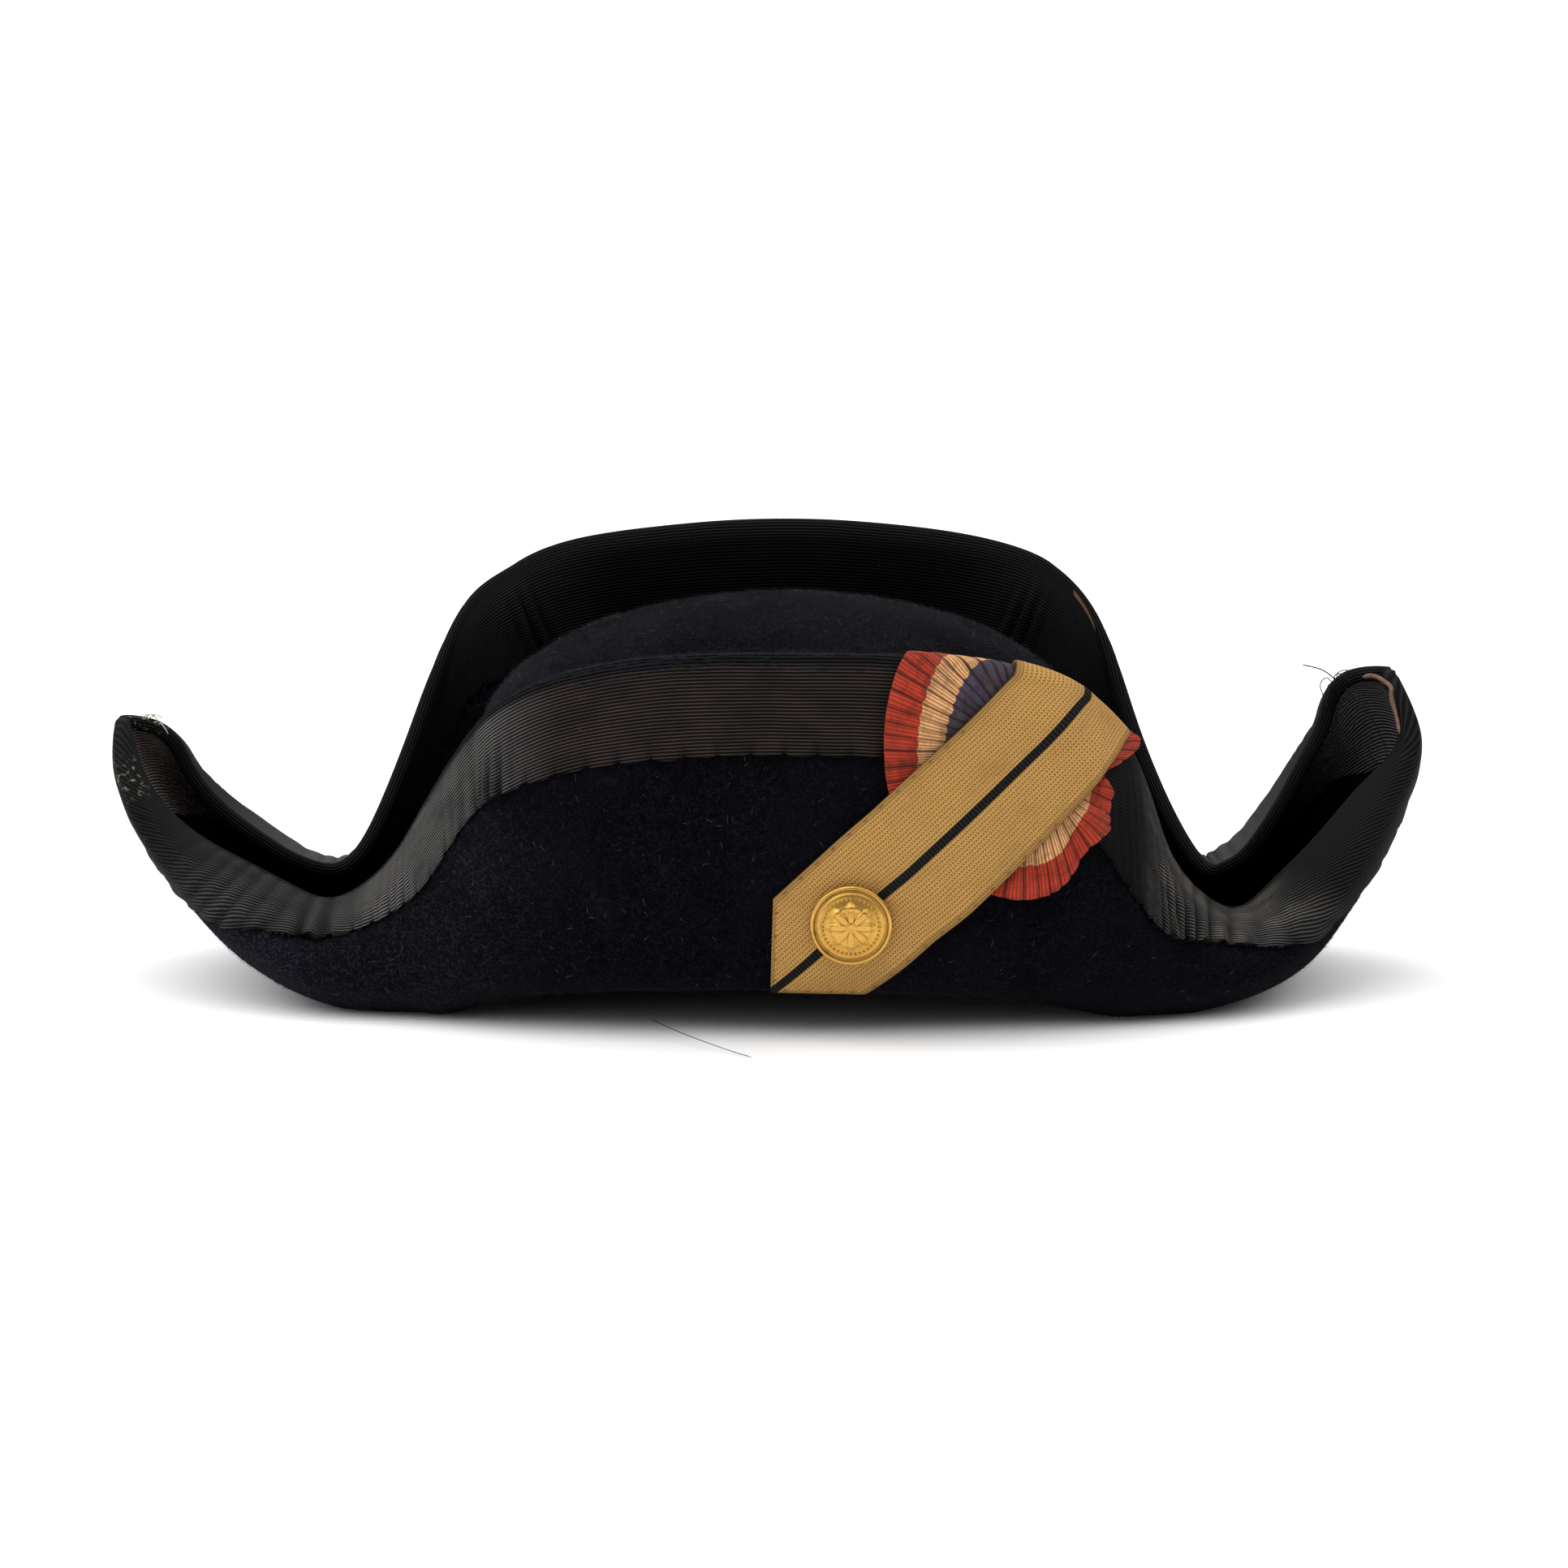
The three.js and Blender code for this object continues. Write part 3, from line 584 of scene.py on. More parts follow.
def thick(skin, above, below):
    """A closed wall between two offsets of a skin, each a height for every corner."""
    solid = Solid()
    normals = skin.normals()
    top = solid.corners(skin.points + normals * np.reshape(above, (-1, 1)))
    low = solid.corners(skin.points - normals * np.reshape(below, (-1, 1)))
    solid.quads(skin.quads + top, skin.uvs)
    solid.quads(skin.quads[:, ::-1] + low, skin.uvs[:, ::-1])
    uv_at = skin.corner_uvs()
    a, b = skin.rim().T
    wall = np.stack([b + top, a + top, a + low, b + low], -1)
    solid.quads(wall, np.stack([uv_at[b], uv_at[a], uv_at[a], uv_at[b]], 1))
    return solid


# The felt and its ribbon


def felt_skin():
    """The felt's middle surface. Notes are 1 where the nap is free, 0 under the ribbon and below."""
    place = even_places(2.3)
    skin = Skin()
    roots = {}
    for side in SIDES:
        brim = Brim(place, side)
        bound, length = brim.bound[:, None], brim.length[:, None]
        outer = bound * np.linspace(0, 1, 9)
        inner = mix(bound, length, np.linspace(0, 1, 25)[1:])
        away = np.concatenate([outer, inner], 1)
        points, uvs = brim.grid(away)
        nap = rise(away - bound, 1.0, 3) * rise(points[..., 2], 4.5, 8)
        skin.grid(points, uvs, nap, flip=side == REAR)
        crown = (place >= LEFT_END) & (place <= RIGHT_END)
        roots[side] = brim.lines[crown, 0]
    ring = np.concatenate([roots[FRONT], roots[REAR][::-1][1:]])
    lines = [
        np.column_stack([ring[:, :2], mix(ring[:, 2], WALL_TOP, share)])
        for share in np.linspace(0, 1, 13)
    ]
    for turn in np.radians(np.linspace(0, 90, 23)[1:]):
        height = np.full(len(ring), WALL_TOP + DOME_RISE * math.sin(turn))
        lines.append(np.column_stack([ring[:, :2] * math.cos(turn), height]))
    dome = np.stack(lines)
    around = np.broadcast_to(arc(ring), dome.shape[:2])
    up = np.broadcast_to(500 + np.arange(len(dome))[:, None] * 4.0, dome.shape[:2])
    nap = rise(dome[..., 2], 4, 20)
    skin.grid(uneven(dome), np.stack([around, up], -1), nap, flip=True)
    return skin.join()


def folds(along, middle, width, pitch):
    """Where a group of gathered folds is, and its ridges from 0 in the creases to 1."""
    return hill(along, middle, width), (0.5 + 0.5 * np.sin(along * 2 * math.pi / pitch)) ** 0.7


def near_stitch(along):
    """1 at each stitch of the ribbon's border and 0 a little away from it."""
    return np.abs(np.cos(along * math.pi / STITCH_PITCH)) ** 14


def ribbon_relief(along, away, low, side):
    """Height of the ribbon's folds, and painted shade for how deep each spot lies in their valleys.

    Low is the distance from the ribbon's sewn border.
    """
    pull = near_stitch(along) * hill(low, 0, 4.0)
    h = 0.16 * np.sin(along / 2.1 + 1.3 * np.sin(along / 17)) * rise(away, 4, 26) - 0.45 * pull
    # Painted shade where the stitches pull the ribbon in, and below in the valleys of the folds.
    shade = 0.5 * pull
    table = FRONT_FOLDS if side == FRONT else REAR_FOLDS
    for middle, width, pitch, height, from_edge, slant in table:
        shift = 0.9 * np.sin(along / 6.3 + middle) - slant * away
        group, ridge = folds(along + shift, middle, width, pitch)
        depth = group * mix(from_edge, 1, rise(away, 3, 24))
        h = h + height * ridge * depth
        shade = shade + depth * (1 - ridge) ** 1.5 * min(1, height / 1.2)
    return np.maximum(h, -0.3), np.clip(shade, 0, 1)


def ribbon_solid():
    """The ribbon's two skins, round the felt and folded over its whole edge."""
    place = even_places(1.25)
    fold_steps = 6
    shares = np.linspace(0, 1, 14)
    skin = Skin()
    edges = []
    for side in SIDES:
        brim = Brim(place, side)
        wander = 0.2 * np.sin(brim.along / 7.3) + 0.15 * np.sin(brim.along / 2.1 + side)
        bound = brim.bound + (wander - 0.9 * near_stitch(brim.along)) * rise(brim.tip, 20, 50)
        bound = np.minimum(bound, brim.length)[:, None]
        points, uvs = brim.grid(bound * shares)
        uvs[..., 0] += 0 if side == FRONT else REAR_SHIFT
        skin.grid(points, uvs, bound * (1 - shares), flip=side == REAR)
        edges.append(points[:, 0])
    skin.join()
    normals = skin.normals()
    uv_at = skin.corner_uvs()
    rear = uv_at[:, 0] > REAR_SHIFT / 2
    along, away = np.where(rear, uv_at[:, 0] - REAR_SHIFT, uv_at[:, 0]), uv_at[:, 1]
    relief, shade = zip(*(ribbon_relief(along, away, skin.notes, side) for side in SIDES))
    start = rise(away, -0.5, 2.5)
    inside = np.where(rear, relief[1], 0.5 * relief[0]) * start
    outside = np.where(rear, 0.6 * relief[1], relief[0]) * start
    shade = np.where(rear, shade[1], shade[0])

    rim = skin.rim()
    keys = {tuple(key) for key in rounded(np.concatenate(edges))}
    on_edge = np.array([tuple(key) in keys for key in rounded(skin.points)])
    at_edge = on_edge[rim[:, 0]] & on_edge[rim[:, 1]]
    edge, border = rim[at_edge], rim[~at_edge]
    outward = np.zeros_like(skin.points)
    step = skin.points[edge[:, 1]] - skin.points[edge[:, 0]]
    for k in range(2):
        np.add.at(outward, edge[:, k], np.cross(step, normals[edge[:, k]]))
    outward = unit(outward)

    solid = Solid()
    layers = []
    for radius, detail in ((RIBBON_TOP, 1.0), (SKIN, 0.0)):
        top = solid.corners(skin.points + normals * (radius + detail * inside)[:, None])
        low = solid.corners(skin.points - normals * (radius + detail * outside)[:, None])
        arcs = []
        for k in range(1, fold_steps):
            turn = math.pi * k / fold_steps
            ring = normals * math.cos(turn) + outward * math.sin(turn)
            arcs.append(solid.corners(skin.points + ring * radius))
        layers.append((top, low, arcs, radius))
    for (top, low, arcs, radius), turned in zip(layers, (False, True)):
        order = slice(None, None, -1) if turned else slice(None)
        solid.quads((skin.quads + top)[:, order], skin.uvs[:, order])
        under = skin.uvs * [1, -1] - [0, math.pi * radius]
        solid.quads((skin.quads[:, ::-1] + low)[:, order], under[:, ::-1][:, order])
        a, b = edge[:, 0], edge[:, 1]
        chain = [top, *arcs, low]
        for k in range(fold_steps):
            quad = np.stack([b + chain[k], a + chain[k], a + chain[k + 1], b + chain[k + 1]], -1)
            here, there = (math.pi * radius * n / fold_steps for n in (k, k + 1))
            uv = [uv_at[b] - [0, here], uv_at[a] - [0, here], uv_at[a] - [0, there], uv_at[b] - [0, there]]
            solid.quads(quad[:, order], np.stack(uv, 1)[:, order])
    (top, low, _, _), (inner_top, inner_low, _, _) = layers
    a, b = border[:, 0], border[:, 1]
    uv = np.stack([uv_at[b], uv_at[a], uv_at[a], uv_at[b]], 1)
    solid.quads(np.stack([b + top, a + top, a + inner_top, b + inner_top], -1), uv)
    solid.quads(np.stack([a + low, b + low, b + inner_low, a + inner_low], -1), uv)
    return solid, np.tile(shade, 2 * (fold_steps + 1))


# Places on the front flap


class Flap:
    """The front flap, read by the length along it from its middle and the drop below its edge."""

    def __init__(self):
        self.place = np.arange(MIDDLE - 3.2, RIGHT_END + 1.2, PLACE_STEP)
        lines = smooth_lines(section_controls(self.place, FRONT))
        spots = lines[:, MEASURED_AT]
        steps = np.hypot(*np.diff(spots[:, :2], axis=0).T)
        along = np.concatenate([[0], np.cumsum(steps)])
        self.along = along - along[np.argmin(np.abs(spots[:, 0]))]
        self.heights = section_controls(self.place, FRONT)[:, -1, 2]

    def edge_height(self, along):
        return np.interp(along, self.along, self.heights)

    def spot(self, place, drop):
        lines = Sections(place, FRONT)
        return uneven(lines.at(drop[:, None])[:, 0])

    def frame_at(self, along, drop):
        place = np.interp(along, self.along, self.place)
        point = self.spot(place, drop)
        side = unit(self.spot(place + PLACE_STEP, drop) - self.spot(place - PLACE_STEP, drop))
        high = np.maximum(0, drop - 1)
        up = self.spot(place, high) - self.spot(place, high + 2)
        out = unit(np.cross(side, up))
        return point, out, np.cross(out, side)

    def draped(self, along, drop, lift, stiff=0.0):
        """Points lifted off the outside. Past the edge they go round and down the inside.

        Where the cloth is stiff, it stands straight on past the edge.
        """
        values = np.broadcast_arrays(along, drop, lift, stiff)
        along, drop, lift, stiff = (np.asarray(v, float).reshape(-1) for v in values)
        straight = np.maximum(-drop, 0) * stiff
        drop = drop + straight
        turn = -drop / lift
        inside = turn > math.pi
        depth = np.where(inside, -drop - math.pi * lift, np.maximum(drop, 0))
        point, out, up = self.frame_at(along, depth)
        turn = np.clip(turn, 0, math.pi)[:, None]
        return point + (out * np.cos(turn) + up * np.sin(turn)) * lift[:, None] + up * straight[:, None]


COCKADE_LIFT = RIBBON_TOP + COCKADE_STAND + COCKADE_CLOTH / 2
ON_COCKADE = COCKADE_LIFT + COCKADE_CLOTH / 2 + STRAP_STAND + STRAP / 2
ON_FELT = FELT / 2 + 0.6 + STRAP / 2
COCKADE_AT_EDGE = RIBBON_TOP + 0.2 + COCKADE_CLOTH / 2
STRAP_AT_EDGE = COCKADE_AT_EDGE + COCKADE_CLOTH / 2 + 0.3 + STRAP / 2


def strap_spot(flap, up, across):
    reach = up - STRAP_REACH
    along = COCKADE_ALONG + reach * math.cos(STRAP_SLANT) - across * math.sin(STRAP_SLANT)
    height = cockade_height(flap) + reach * math.sin(STRAP_SLANT) + across * math.cos(STRAP_SLANT)
    return along, flap.edge_height(along) - height


def cockade_height(flap):
    return flap.edge_height(COCKADE_ALONG) - COCKADE_DROP


def strap_lift(up, across, drop=50.0):
    """Height over the felt: low on the felt, high on the cockade, and tight at the flap's edge."""
    far = np.hypot(up - STRAP_REACH, across) - COCKADE_RADIUS
    ramp = mix(ON_COCKADE, ON_FELT, rise(far, 4, STRAP_RAMP))
    return mix(STRAP_AT_EDGE, np.where(up > STRAP_REACH, ON_COCKADE, ramp), rise(drop, 0, 14))


def strap_skin(flap):
    skin = Skin()
    across_list = np.linspace(-1, 1, 41) * STRAP_WIDTH / 2
    columns = []
    for across in across_list:
        low, high = STRAP_REACH - COCKADE_RADIUS, STRAP_REACH + 2 * COCKADE_RADIUS
        for _ in range(40):
            middle = (low + high) / 2
            if strap_spot(flap, middle, across)[1] > 0:
                low = middle
            else:
                high = middle
        start, edge = abs(across), (low + high) / 2
        ups = np.linspace(start, edge, 121)[:-1]
        along, drop = strap_spot(flap, ups, across)
        over = math.pi * STRAP_AT_EDGE
        past = np.concatenate([np.linspace(0, over, 17), over + np.linspace(0, STRAP_TUCK, 15)[1:]])
        slide = STRAP_SLIDE * (1 - np.exp(-past / STRAP_SLIDE_OVER)) / math.tan(STRAP_SLANT)
        along = np.concatenate([along, strap_spot(flap, edge, across)[0] + slide])
        lift = np.concatenate([strap_lift(ups, across, drop), np.full(len(past), STRAP_AT_EDGE)])
        drop = np.concatenate([drop, -past])
        points = flap.draped(along, drop, lift)
        length = np.concatenate([ups, edge + past])
        columns.append((points, np.stack([np.full(len(length), across), length], -1)))
    points = np.stack([c[0] for c in columns])
    uvs = np.stack([c[1] for c in columns])
    skin.grid(points, uvs, flip=True)
    return skin.join()


def strap_relief(across):
    """The lace's section: corded selvedges and a narrow raised stripe."""
    cord = hill(np.abs(across), STRAP_WIDTH / 2 - 0.6, 0.45) * 0.2
    second = hill(np.abs(across), STRAP_WIDTH / 2 - 1.9, 0.45) * 0.14
    return cord + second + hill(across, 0, 1.3) * 0.15


def cockade_skin(flap):
    rows, around_count = 46, PLEATS * 14
    share = np.linspace(0, 1, rows + 1)[:, None]
    around = np.linspace(-math.pi, math.pi, around_count + 1)[None, :]
    degrees = np.degrees(around)
    rim = sum(np.interp(degrees + step, *COCKADE_RIM.T, period=360) for step in (-3, 0, 3)) / 3
    crush = rise(degrees, -75, -55) * (1 - rise(degrees, 0, 20))
    nominal = mix(COCKADE_HOLE, COCKADE_RADIUS, share)
    radius = nominal * rim
    along = COCKADE_ALONG + radius * np.cos(around)
    height = cockade_height(flap) + radius * np.sin(around)
    edge = flap.edge_height(along)
    drop = edge - height
    up = np.minimum(height, edge) - cockade_height(flap)
    across = up * math.cos(STRAP_SLANT) - (along - COCKADE_ALONG) * math.sin(STRAP_SLANT)
    free = rise(np.abs(across) - STRAP_WIDTH / 2, -1, 8)
    phase = around * PLEATS + 0.9 * np.sin(around * 5) + 0.8 * np.sin(around * 13)
    uneven_height = 0.75 + 0.25 * np.sin(around * 17 + 0.4)
    pleat = 2.0 * np.abs(np.cos(phase / 2)) ** 0.8 * uneven_height * mix(0.15, 1, free) * mix(1, 0.7, share)
    ruffle = free * share**1.5 * (1.5 + 1.5 * np.sin(7 * around + 0.6))
    ruffle = ruffle + free * crush * share**1.4 * (2.6 + 2.6 * np.sin(13 * around + 1.2))
    gathered = np.where(drop > 0, drop, -COCKADE_PAST * (1 - np.exp(np.minimum(drop, 0) / COCKADE_PAST)))
    loose = rise(drop, -1, 13)
    stiff = rise(degrees, -40, -28) * (1 - rise(degrees, 8, 15))
    lift = mix(COCKADE_AT_EDGE + 0.2 * pleat, COCKADE_LIFT + pleat + ruffle, np.maximum(loose, 0.6 * stiff))
    gathered = mix(gathered, drop, stiff)
    points = flap.draped(along, gathered, lift, stiff).reshape(along.shape + (3,))
    points[:, -1] = points[:, 0]
    skin = Skin()
    widths = np.broadcast_to(nominal, along.shape)
    skin.grid(points, np.stack([np.broadcast_to(around, along.shape), widths], -1))
    return skin.join()


# The button


def button_solid(flap):
    radius = BUTTON_DIAMETER / 2
    outline = np.array(BUTTON_OUTLINE) * [radius, BUTTON_HEIGHT]
    fine = smooth_lines(np.column_stack([outline, 0 * outline[:, 0]])[None], 6)[0][:, :2]
    fine[:, 0] = np.maximum(fine[:, 0], 0)
    fine[0, 0] = fine[-1, 0] = 0.0
    around = np.linspace(0, 2 * math.pi, 145)
    face = rise(np.arange(len(fine)), len(fine) * 0.55, len(fine) * 0.62)
    r = fine[:, 0][:, None] + 0 * around
    share = r / radius
    petals = np.abs(np.cos(4 * around)) ** 0.7
    flower = rise(petals * 0.62 - share, -0.05, 0.12) * rise(share, 0.1, 0.2)
    heart = rise(0.14 - share, -0.02, 0.03)
    wreath = hill(share, 0.5, 0.03) + 0.8 * hill(share, 0.8, 0.02)
    z = fine[:, 1][:, None] + face[:, None] * (0.5 * flower + 0.6 * heart + 0.3 * wreath)
    points = np.stack([r * np.cos(around), r * np.sin(around), z], -1)
    points[:, -1] = points[:, 0]
    spots = [(0, 0), (-radius, 0), (radius, 0), (0, -radius), (0, radius)]
    seat = []
    for up, across in spots:
        place_along, drop = strap_spot(flap, BUTTON_UP + up, across)
        seat.append(flap.draped(place_along, drop, strap_lift(BUTTON_UP + up, across))[0])
    out = unit(np.cross(seat[2] - seat[1], seat[4] - seat[3]))
    out = out if out[1] < 0 else -out
    highest = max(float(s @ out) for s in seat)
    base = seat[0] + out * (highest - float(seat[0] @ out) + STRAP / 2 + 0.25)
    right = unit(np.cross([0, 0, 1.0], out))
    placed = base + points @ np.stack([right, np.cross(out, right), out])
    skin = Skin()
    uvs = np.stack([np.broadcast_to(around, r.shape), r], -1)
    skin.grid(placed, uvs, flip=True)
    skin.join()
    solid = Solid()
    solid.corners(skin.points)
    solid.quads(skin.quads, skin.uvs)
    return solid, base, out, right


# Node trees


class Value:
    """A node's output that takes part in sums: each operator adds a Math node."""

    def __init__(self, nodes, socket):
        self.nodes = nodes
        self.socket = socket

    def maths(self, operation, a, b=0.0):
        return self.nodes.add("ShaderNodeMath", {"operation": operation}, {0: a, 1: b})

    def __add__(self, other):
        return self.maths("ADD", self, other)

    __radd__ = __add__

    def __sub__(self, other):
        return self.maths("SUBTRACT", self, other)

    def __rsub__(self, other):
        return self.maths("SUBTRACT", other, self)

    def __mul__(self, other):
        return self.maths("MULTIPLY", self, other)

    __rmul__ = __mul__

    def __pow__(self, other):
        return self.maths("POWER", self, other)

    def above(self, low, high):
        """0 below low, 1 above high, smooth between."""
        return self.nodes.add(
            "ShaderNodeMapRange",
            {"interpolation_type": "SMOOTHSTEP"},
            {"Value": self, "From Min": low, "From Max": high},
        )

    def near(self, middle, inner, outer):
        """1 up to inner away from the middle, 0 from outer on."""
        return 1 - (self - middle).size().above(inner, outer)

    def size(self):
        return self.maths("ABSOLUTE", self)

    def sine(self):
        return self.maths("SINE", self)

    def wave(self):
        """The sine, moved to lie between 0 and 1."""
        return self.sine() * 0.5 + 0.5


class Nodes:
    """A node tree that is built node by node."""

    def add(self, kind, settings=None, inputs=None, output=0):
        """A node of a kind: its settings first, then the values or links of its sockets."""
        node = self.tree.nodes.new(kind)
        for name, value in (settings or {}).items():
            setattr(node, name, value)
        for name, value in (inputs or {}).items():
            socket = node.inputs[name]
            if isinstance(value, Value):
                self.tree.links.new(value.socket, socket)
            elif socket.type == "RGBA":
                socket.default_value = (*value, 1)
            else:
                socket.default_value = value
        return Value(self, node.outputs[output])


# Sewing, loose threads, and what grows on a surface


class Growth(Nodes):
    """A Geometry Nodes tree with named inputs."""

    def __init__(self, name, inputs):
        self.tree = bpy.data.node_groups.new(name, "GeometryNodeTree")
        sockets = [("Geometry", "NodeSocketGeometry", None), *inputs]
        for label, kind, default in sockets:
            socket = self.tree.interface.new_socket(label, in_out="INPUT", socket_type=kind)
            if default is not None:
                socket.default_value = default
        self.tree.interface.new_socket("Geometry", in_out="OUTPUT", socket_type="NodeSocketGeometry")
        self.source = self.tree.nodes.new("NodeGroupInput")
        self.result = self.tree.nodes.new("NodeGroupOutput")

    def __getitem__(self, label):
        return Value(self, self.source.outputs[label])

    def chance(self, low, high, seed=0):
        """A random number for each point. Its sockets of numbers are the third and fourth."""
        inputs = {2: low, 3: high, "Seed": seed}
        return self.add("FunctionNodeRandomValue", {"data_type": "FLOAT"}, inputs, 1)

    def named(self, kind, name):
        return self.add("GeometryNodeInputNamedAttribute", {"data_type": kind}, {"Name": name})

    def end(self, points, shape, rotation, scale):
        """Instances of a shape on points, made real and given their material."""
        copies = self.add(
            "GeometryNodeInstanceOnPoints",
            inputs={"Points": points, "Instance": shape, "Rotation": rotation, "Scale": scale},
        )
        real = self.add("GeometryNodeRealizeInstances", inputs={0: copies})
        done = self.add("GeometryNodeSetMaterial", inputs={0: real, "Material": self["Material"]})
        self.tree.links.new(done.socket, self.result.inputs[0])
        return self

    def grow(self, mesh, name, **inputs):
        """The tree's result on a mesh, as an object with a plain mesh."""
        source = bpy.data.objects.new("growth_source", mesh)
        bpy.context.collection.objects.link(source)
        modifier = source.modifiers.new("growth", "NODES")
        modifier.node_group = self.tree
        for item in self.tree.interface.items_tree:
            if item.in_out == "INPUT" and item.name in inputs:
                modifier[item.identifier] = inputs[item.name]
        graph = bpy.context.evaluated_depsgraph_get()
        grown = bpy.data.meshes.new_from_object(source.evaluated_get(graph))
        source.modifiers.remove(modifier)
        bpy.data.objects.remove(source)
        return bpy.data.objects.new(name, grown)


def nap_growth():
    """Fibres that lie in swirls on the felt, where its nap is free."""
    g = Growth(
        "nap",
        [
            ("Density", "NodeSocketFloat", 1e5), ("Length", "NodeSocketFloat", 0.003),
            ("Width", "NodeSocketFloat", 5e-5), ("Tilt", "NodeSocketFloat", 1.15),
            ("Facing", "NodeSocketVector", (0, -1, 0)), ("From", "NodeSocketFloat", -1.0),
            ("To", "NodeSocketFloat", 1.0), ("Seed", "NodeSocketInt", 1),
            ("Material", "NodeSocketMaterial", None),
        ],
    )  # fmt: skip
    normal = g.add("GeometryNodeInputNormal")
    facing = g.add("ShaderNodeVectorMath", {"operation": "DOT_PRODUCT"}, {0: normal, 1: g["Facing"]}, 1)
    across = g.add("ShaderNodeSeparateXYZ", inputs={0: g.add("GeometryNodeInputPosition")})
    within = across.maths("GREATER_THAN", across, g["From"]) * across.maths("LESS_THAN", across, g["To"])
    free = g.named("FLOAT", "nap") * facing.maths("GREATER_THAN", facing, 0.3) * within
    scatter = {"Mesh": g["Geometry"], "Density": free * g["Density"], "Seed": g["Seed"]}
    points = g.add("GeometryNodeDistributePointsOnFaces", inputs=scatter)
    place = g.add("GeometryNodeInputPosition")
    swirl = g.add("ShaderNodeTexNoise", inputs={"Vector": place, "Scale": 55.0, "Detail": 2.0})
    lean = g.chance(g["Tilt"] - 0.35, g["Tilt"])
    turn = swirl * 16.0 + g.chance(-0.7, 0.7, 3)
    euler = g.add("ShaderNodeCombineXYZ", inputs={0: lean, 2: turn})
    tilted = g.add("FunctionNodeEulerToRotation", inputs={0: euler})
    upright = Value(g, points.socket.node.outputs["Rotation"])
    rotation = g.add("FunctionNodeRotateRotation", {"rotation_space": "LOCAL"}, {0: upright, 1: tilted})
    size = g.chance(0.45, 1.25, 9)
    cone = {"Vertices": 3, "Radius Top": 0.0, "Radius Bottom": g["Width"], "Depth": g["Length"]}
    fibre = g.add("GeometryNodeMeshCone", inputs=cone)
    return g.end(points, fibre, rotation, size)


def sewing_growth():
    """Small rounded bars on points, each along its own direction: stitches or beads."""
    g = Growth(
        "sewing",
        [
            ("Length", "NodeSocketFloat", 0.002), ("Width", "NodeSocketFloat", 0.0004),
            ("Material", "NodeSocketMaterial", None),
        ],
    )  # fmt: skip
    align = "FunctionNodeAlignRotationToVector"
    rotation = g.add(align, {"axis": "Z"}, {"Vector": g.named("FLOAT_VECTOR", "out")})
    along = {"Rotation": rotation, "Vector": g.named("FLOAT_VECTOR", "lie")}
    rotation = g.add(align, {"axis": "X", "pivot_axis": "Z"}, along)
    bar = g.add("GeometryNodeMeshUVSphere", inputs={"Segments": 8, "Rings": 5, "Radius": 0.5})
    scale = g.add("ShaderNodeCombineXYZ", inputs={0: g["Length"], 1: g["Width"], 2: g["Width"]})
    return g.end(g["Geometry"], bar, rotation, scale)


def spots_mesh(points, out, lie):
    """Loose points, each with the direction away from the cloth and the one that it lies along."""
    mesh = bpy.data.meshes.new("spots")
    mesh.from_pydata(((np.asarray(points) + CROWN_AT) * MM).tolist(), [], [])
    for name, values in (("out", out), ("lie", lie)):
        layer = mesh.attributes.new(name, "FLOAT_VECTOR", "POINT")
        layer.data.foreach_set("vector", np.asarray(values, np.float32).reshape(-1))
    return mesh


def border_stitches(side):
    """Stitches over the ribbon's sewn border, on the outside of one flap."""
    place = even_places(1.0)
    brim = Brim(place, side)
    wanted = np.arange(math.ceil(brim.along[0] / STITCH_PITCH) + 1, math.floor(brim.along[-1] / STITCH_PITCH))
    spots = np.interp(wanted * STITCH_PITCH, brim.along, place)
    found = []
    for step in (-PLACE_STEP, 0, PLACE_STEP):
        near = Brim(np.concatenate([[0], spots + step, [LAST]]), side)
        bound = np.interp(spots, place, brim.bound)[:, None]
        found.append(uneven(near.at(np.concatenate([[[1, 2]], bound - [[0.6, -0.9]], [[1, 2]]])))[1:-1])
    lie = unit(found[1][:, 0] - found[1][:, 1])
    across = unit(found[2][:, 0] - found[0][:, 0])
    out = unit(np.cross(lie, across)) * (1 if side == FRONT else -1)
    keep = (np.interp(spots, place, brim.tip) > 12) & (np.interp(spots, place, brim.length) > 40)
    middle = found[1].mean(1) + out * (RIBBON_TOP - 0.3)
    lie = unit(lie + 0.5 * across * np.sin(np.arange(len(lie)) * 1.7)[:, None])
    return middle[keep], out[keep], lie[keep]


def strap_stitches(flap):
    """Small stitches along the strap's two long sides and its point."""
    ups = np.arange(STRAP_WIDTH / 2 + 4, STRAP_REACH - 6, 6.5)
    runs = [(up, side * (STRAP_WIDTH / 2 - 0.9)) for up in ups for side in (-1, 1)]
    runs += [(abs(a) + 1.6, a) for a in np.arange(-17.5, 18, 5)]
    up, across = np.array(runs).T
    lift = strap_lift(up, across, strap_spot(flap, up, across)[1]) + STRAP / 2 + 0.3
    here = flap.draped(*strap_spot(flap, up, across), lift)
    ahead = flap.draped(*strap_spot(flap, up + 0.5, across), lift)
    beside = flap.draped(*strap_spot(flap, up, across + 0.5), lift)
    out = unit(np.cross(ahead - here, beside - here))
    out = out * np.sign(-out[:, 1:2])
    return here, out, unit(ahead - here)


def edge_points(places, side):
    """Points of the felt's edge."""
    return uneven(Sections(places, side).at(np.zeros(1))[:, 0])


def frayed(solid, table, shift, count):
    """Threads that come out of the rear flap's edge."""
    for place, radius, steps in table:
        start = edge_points([place], REAR)[0] + shift
        thread(solid, curved(start + np.array([(0, 0, 0), *steps]), count), radius)


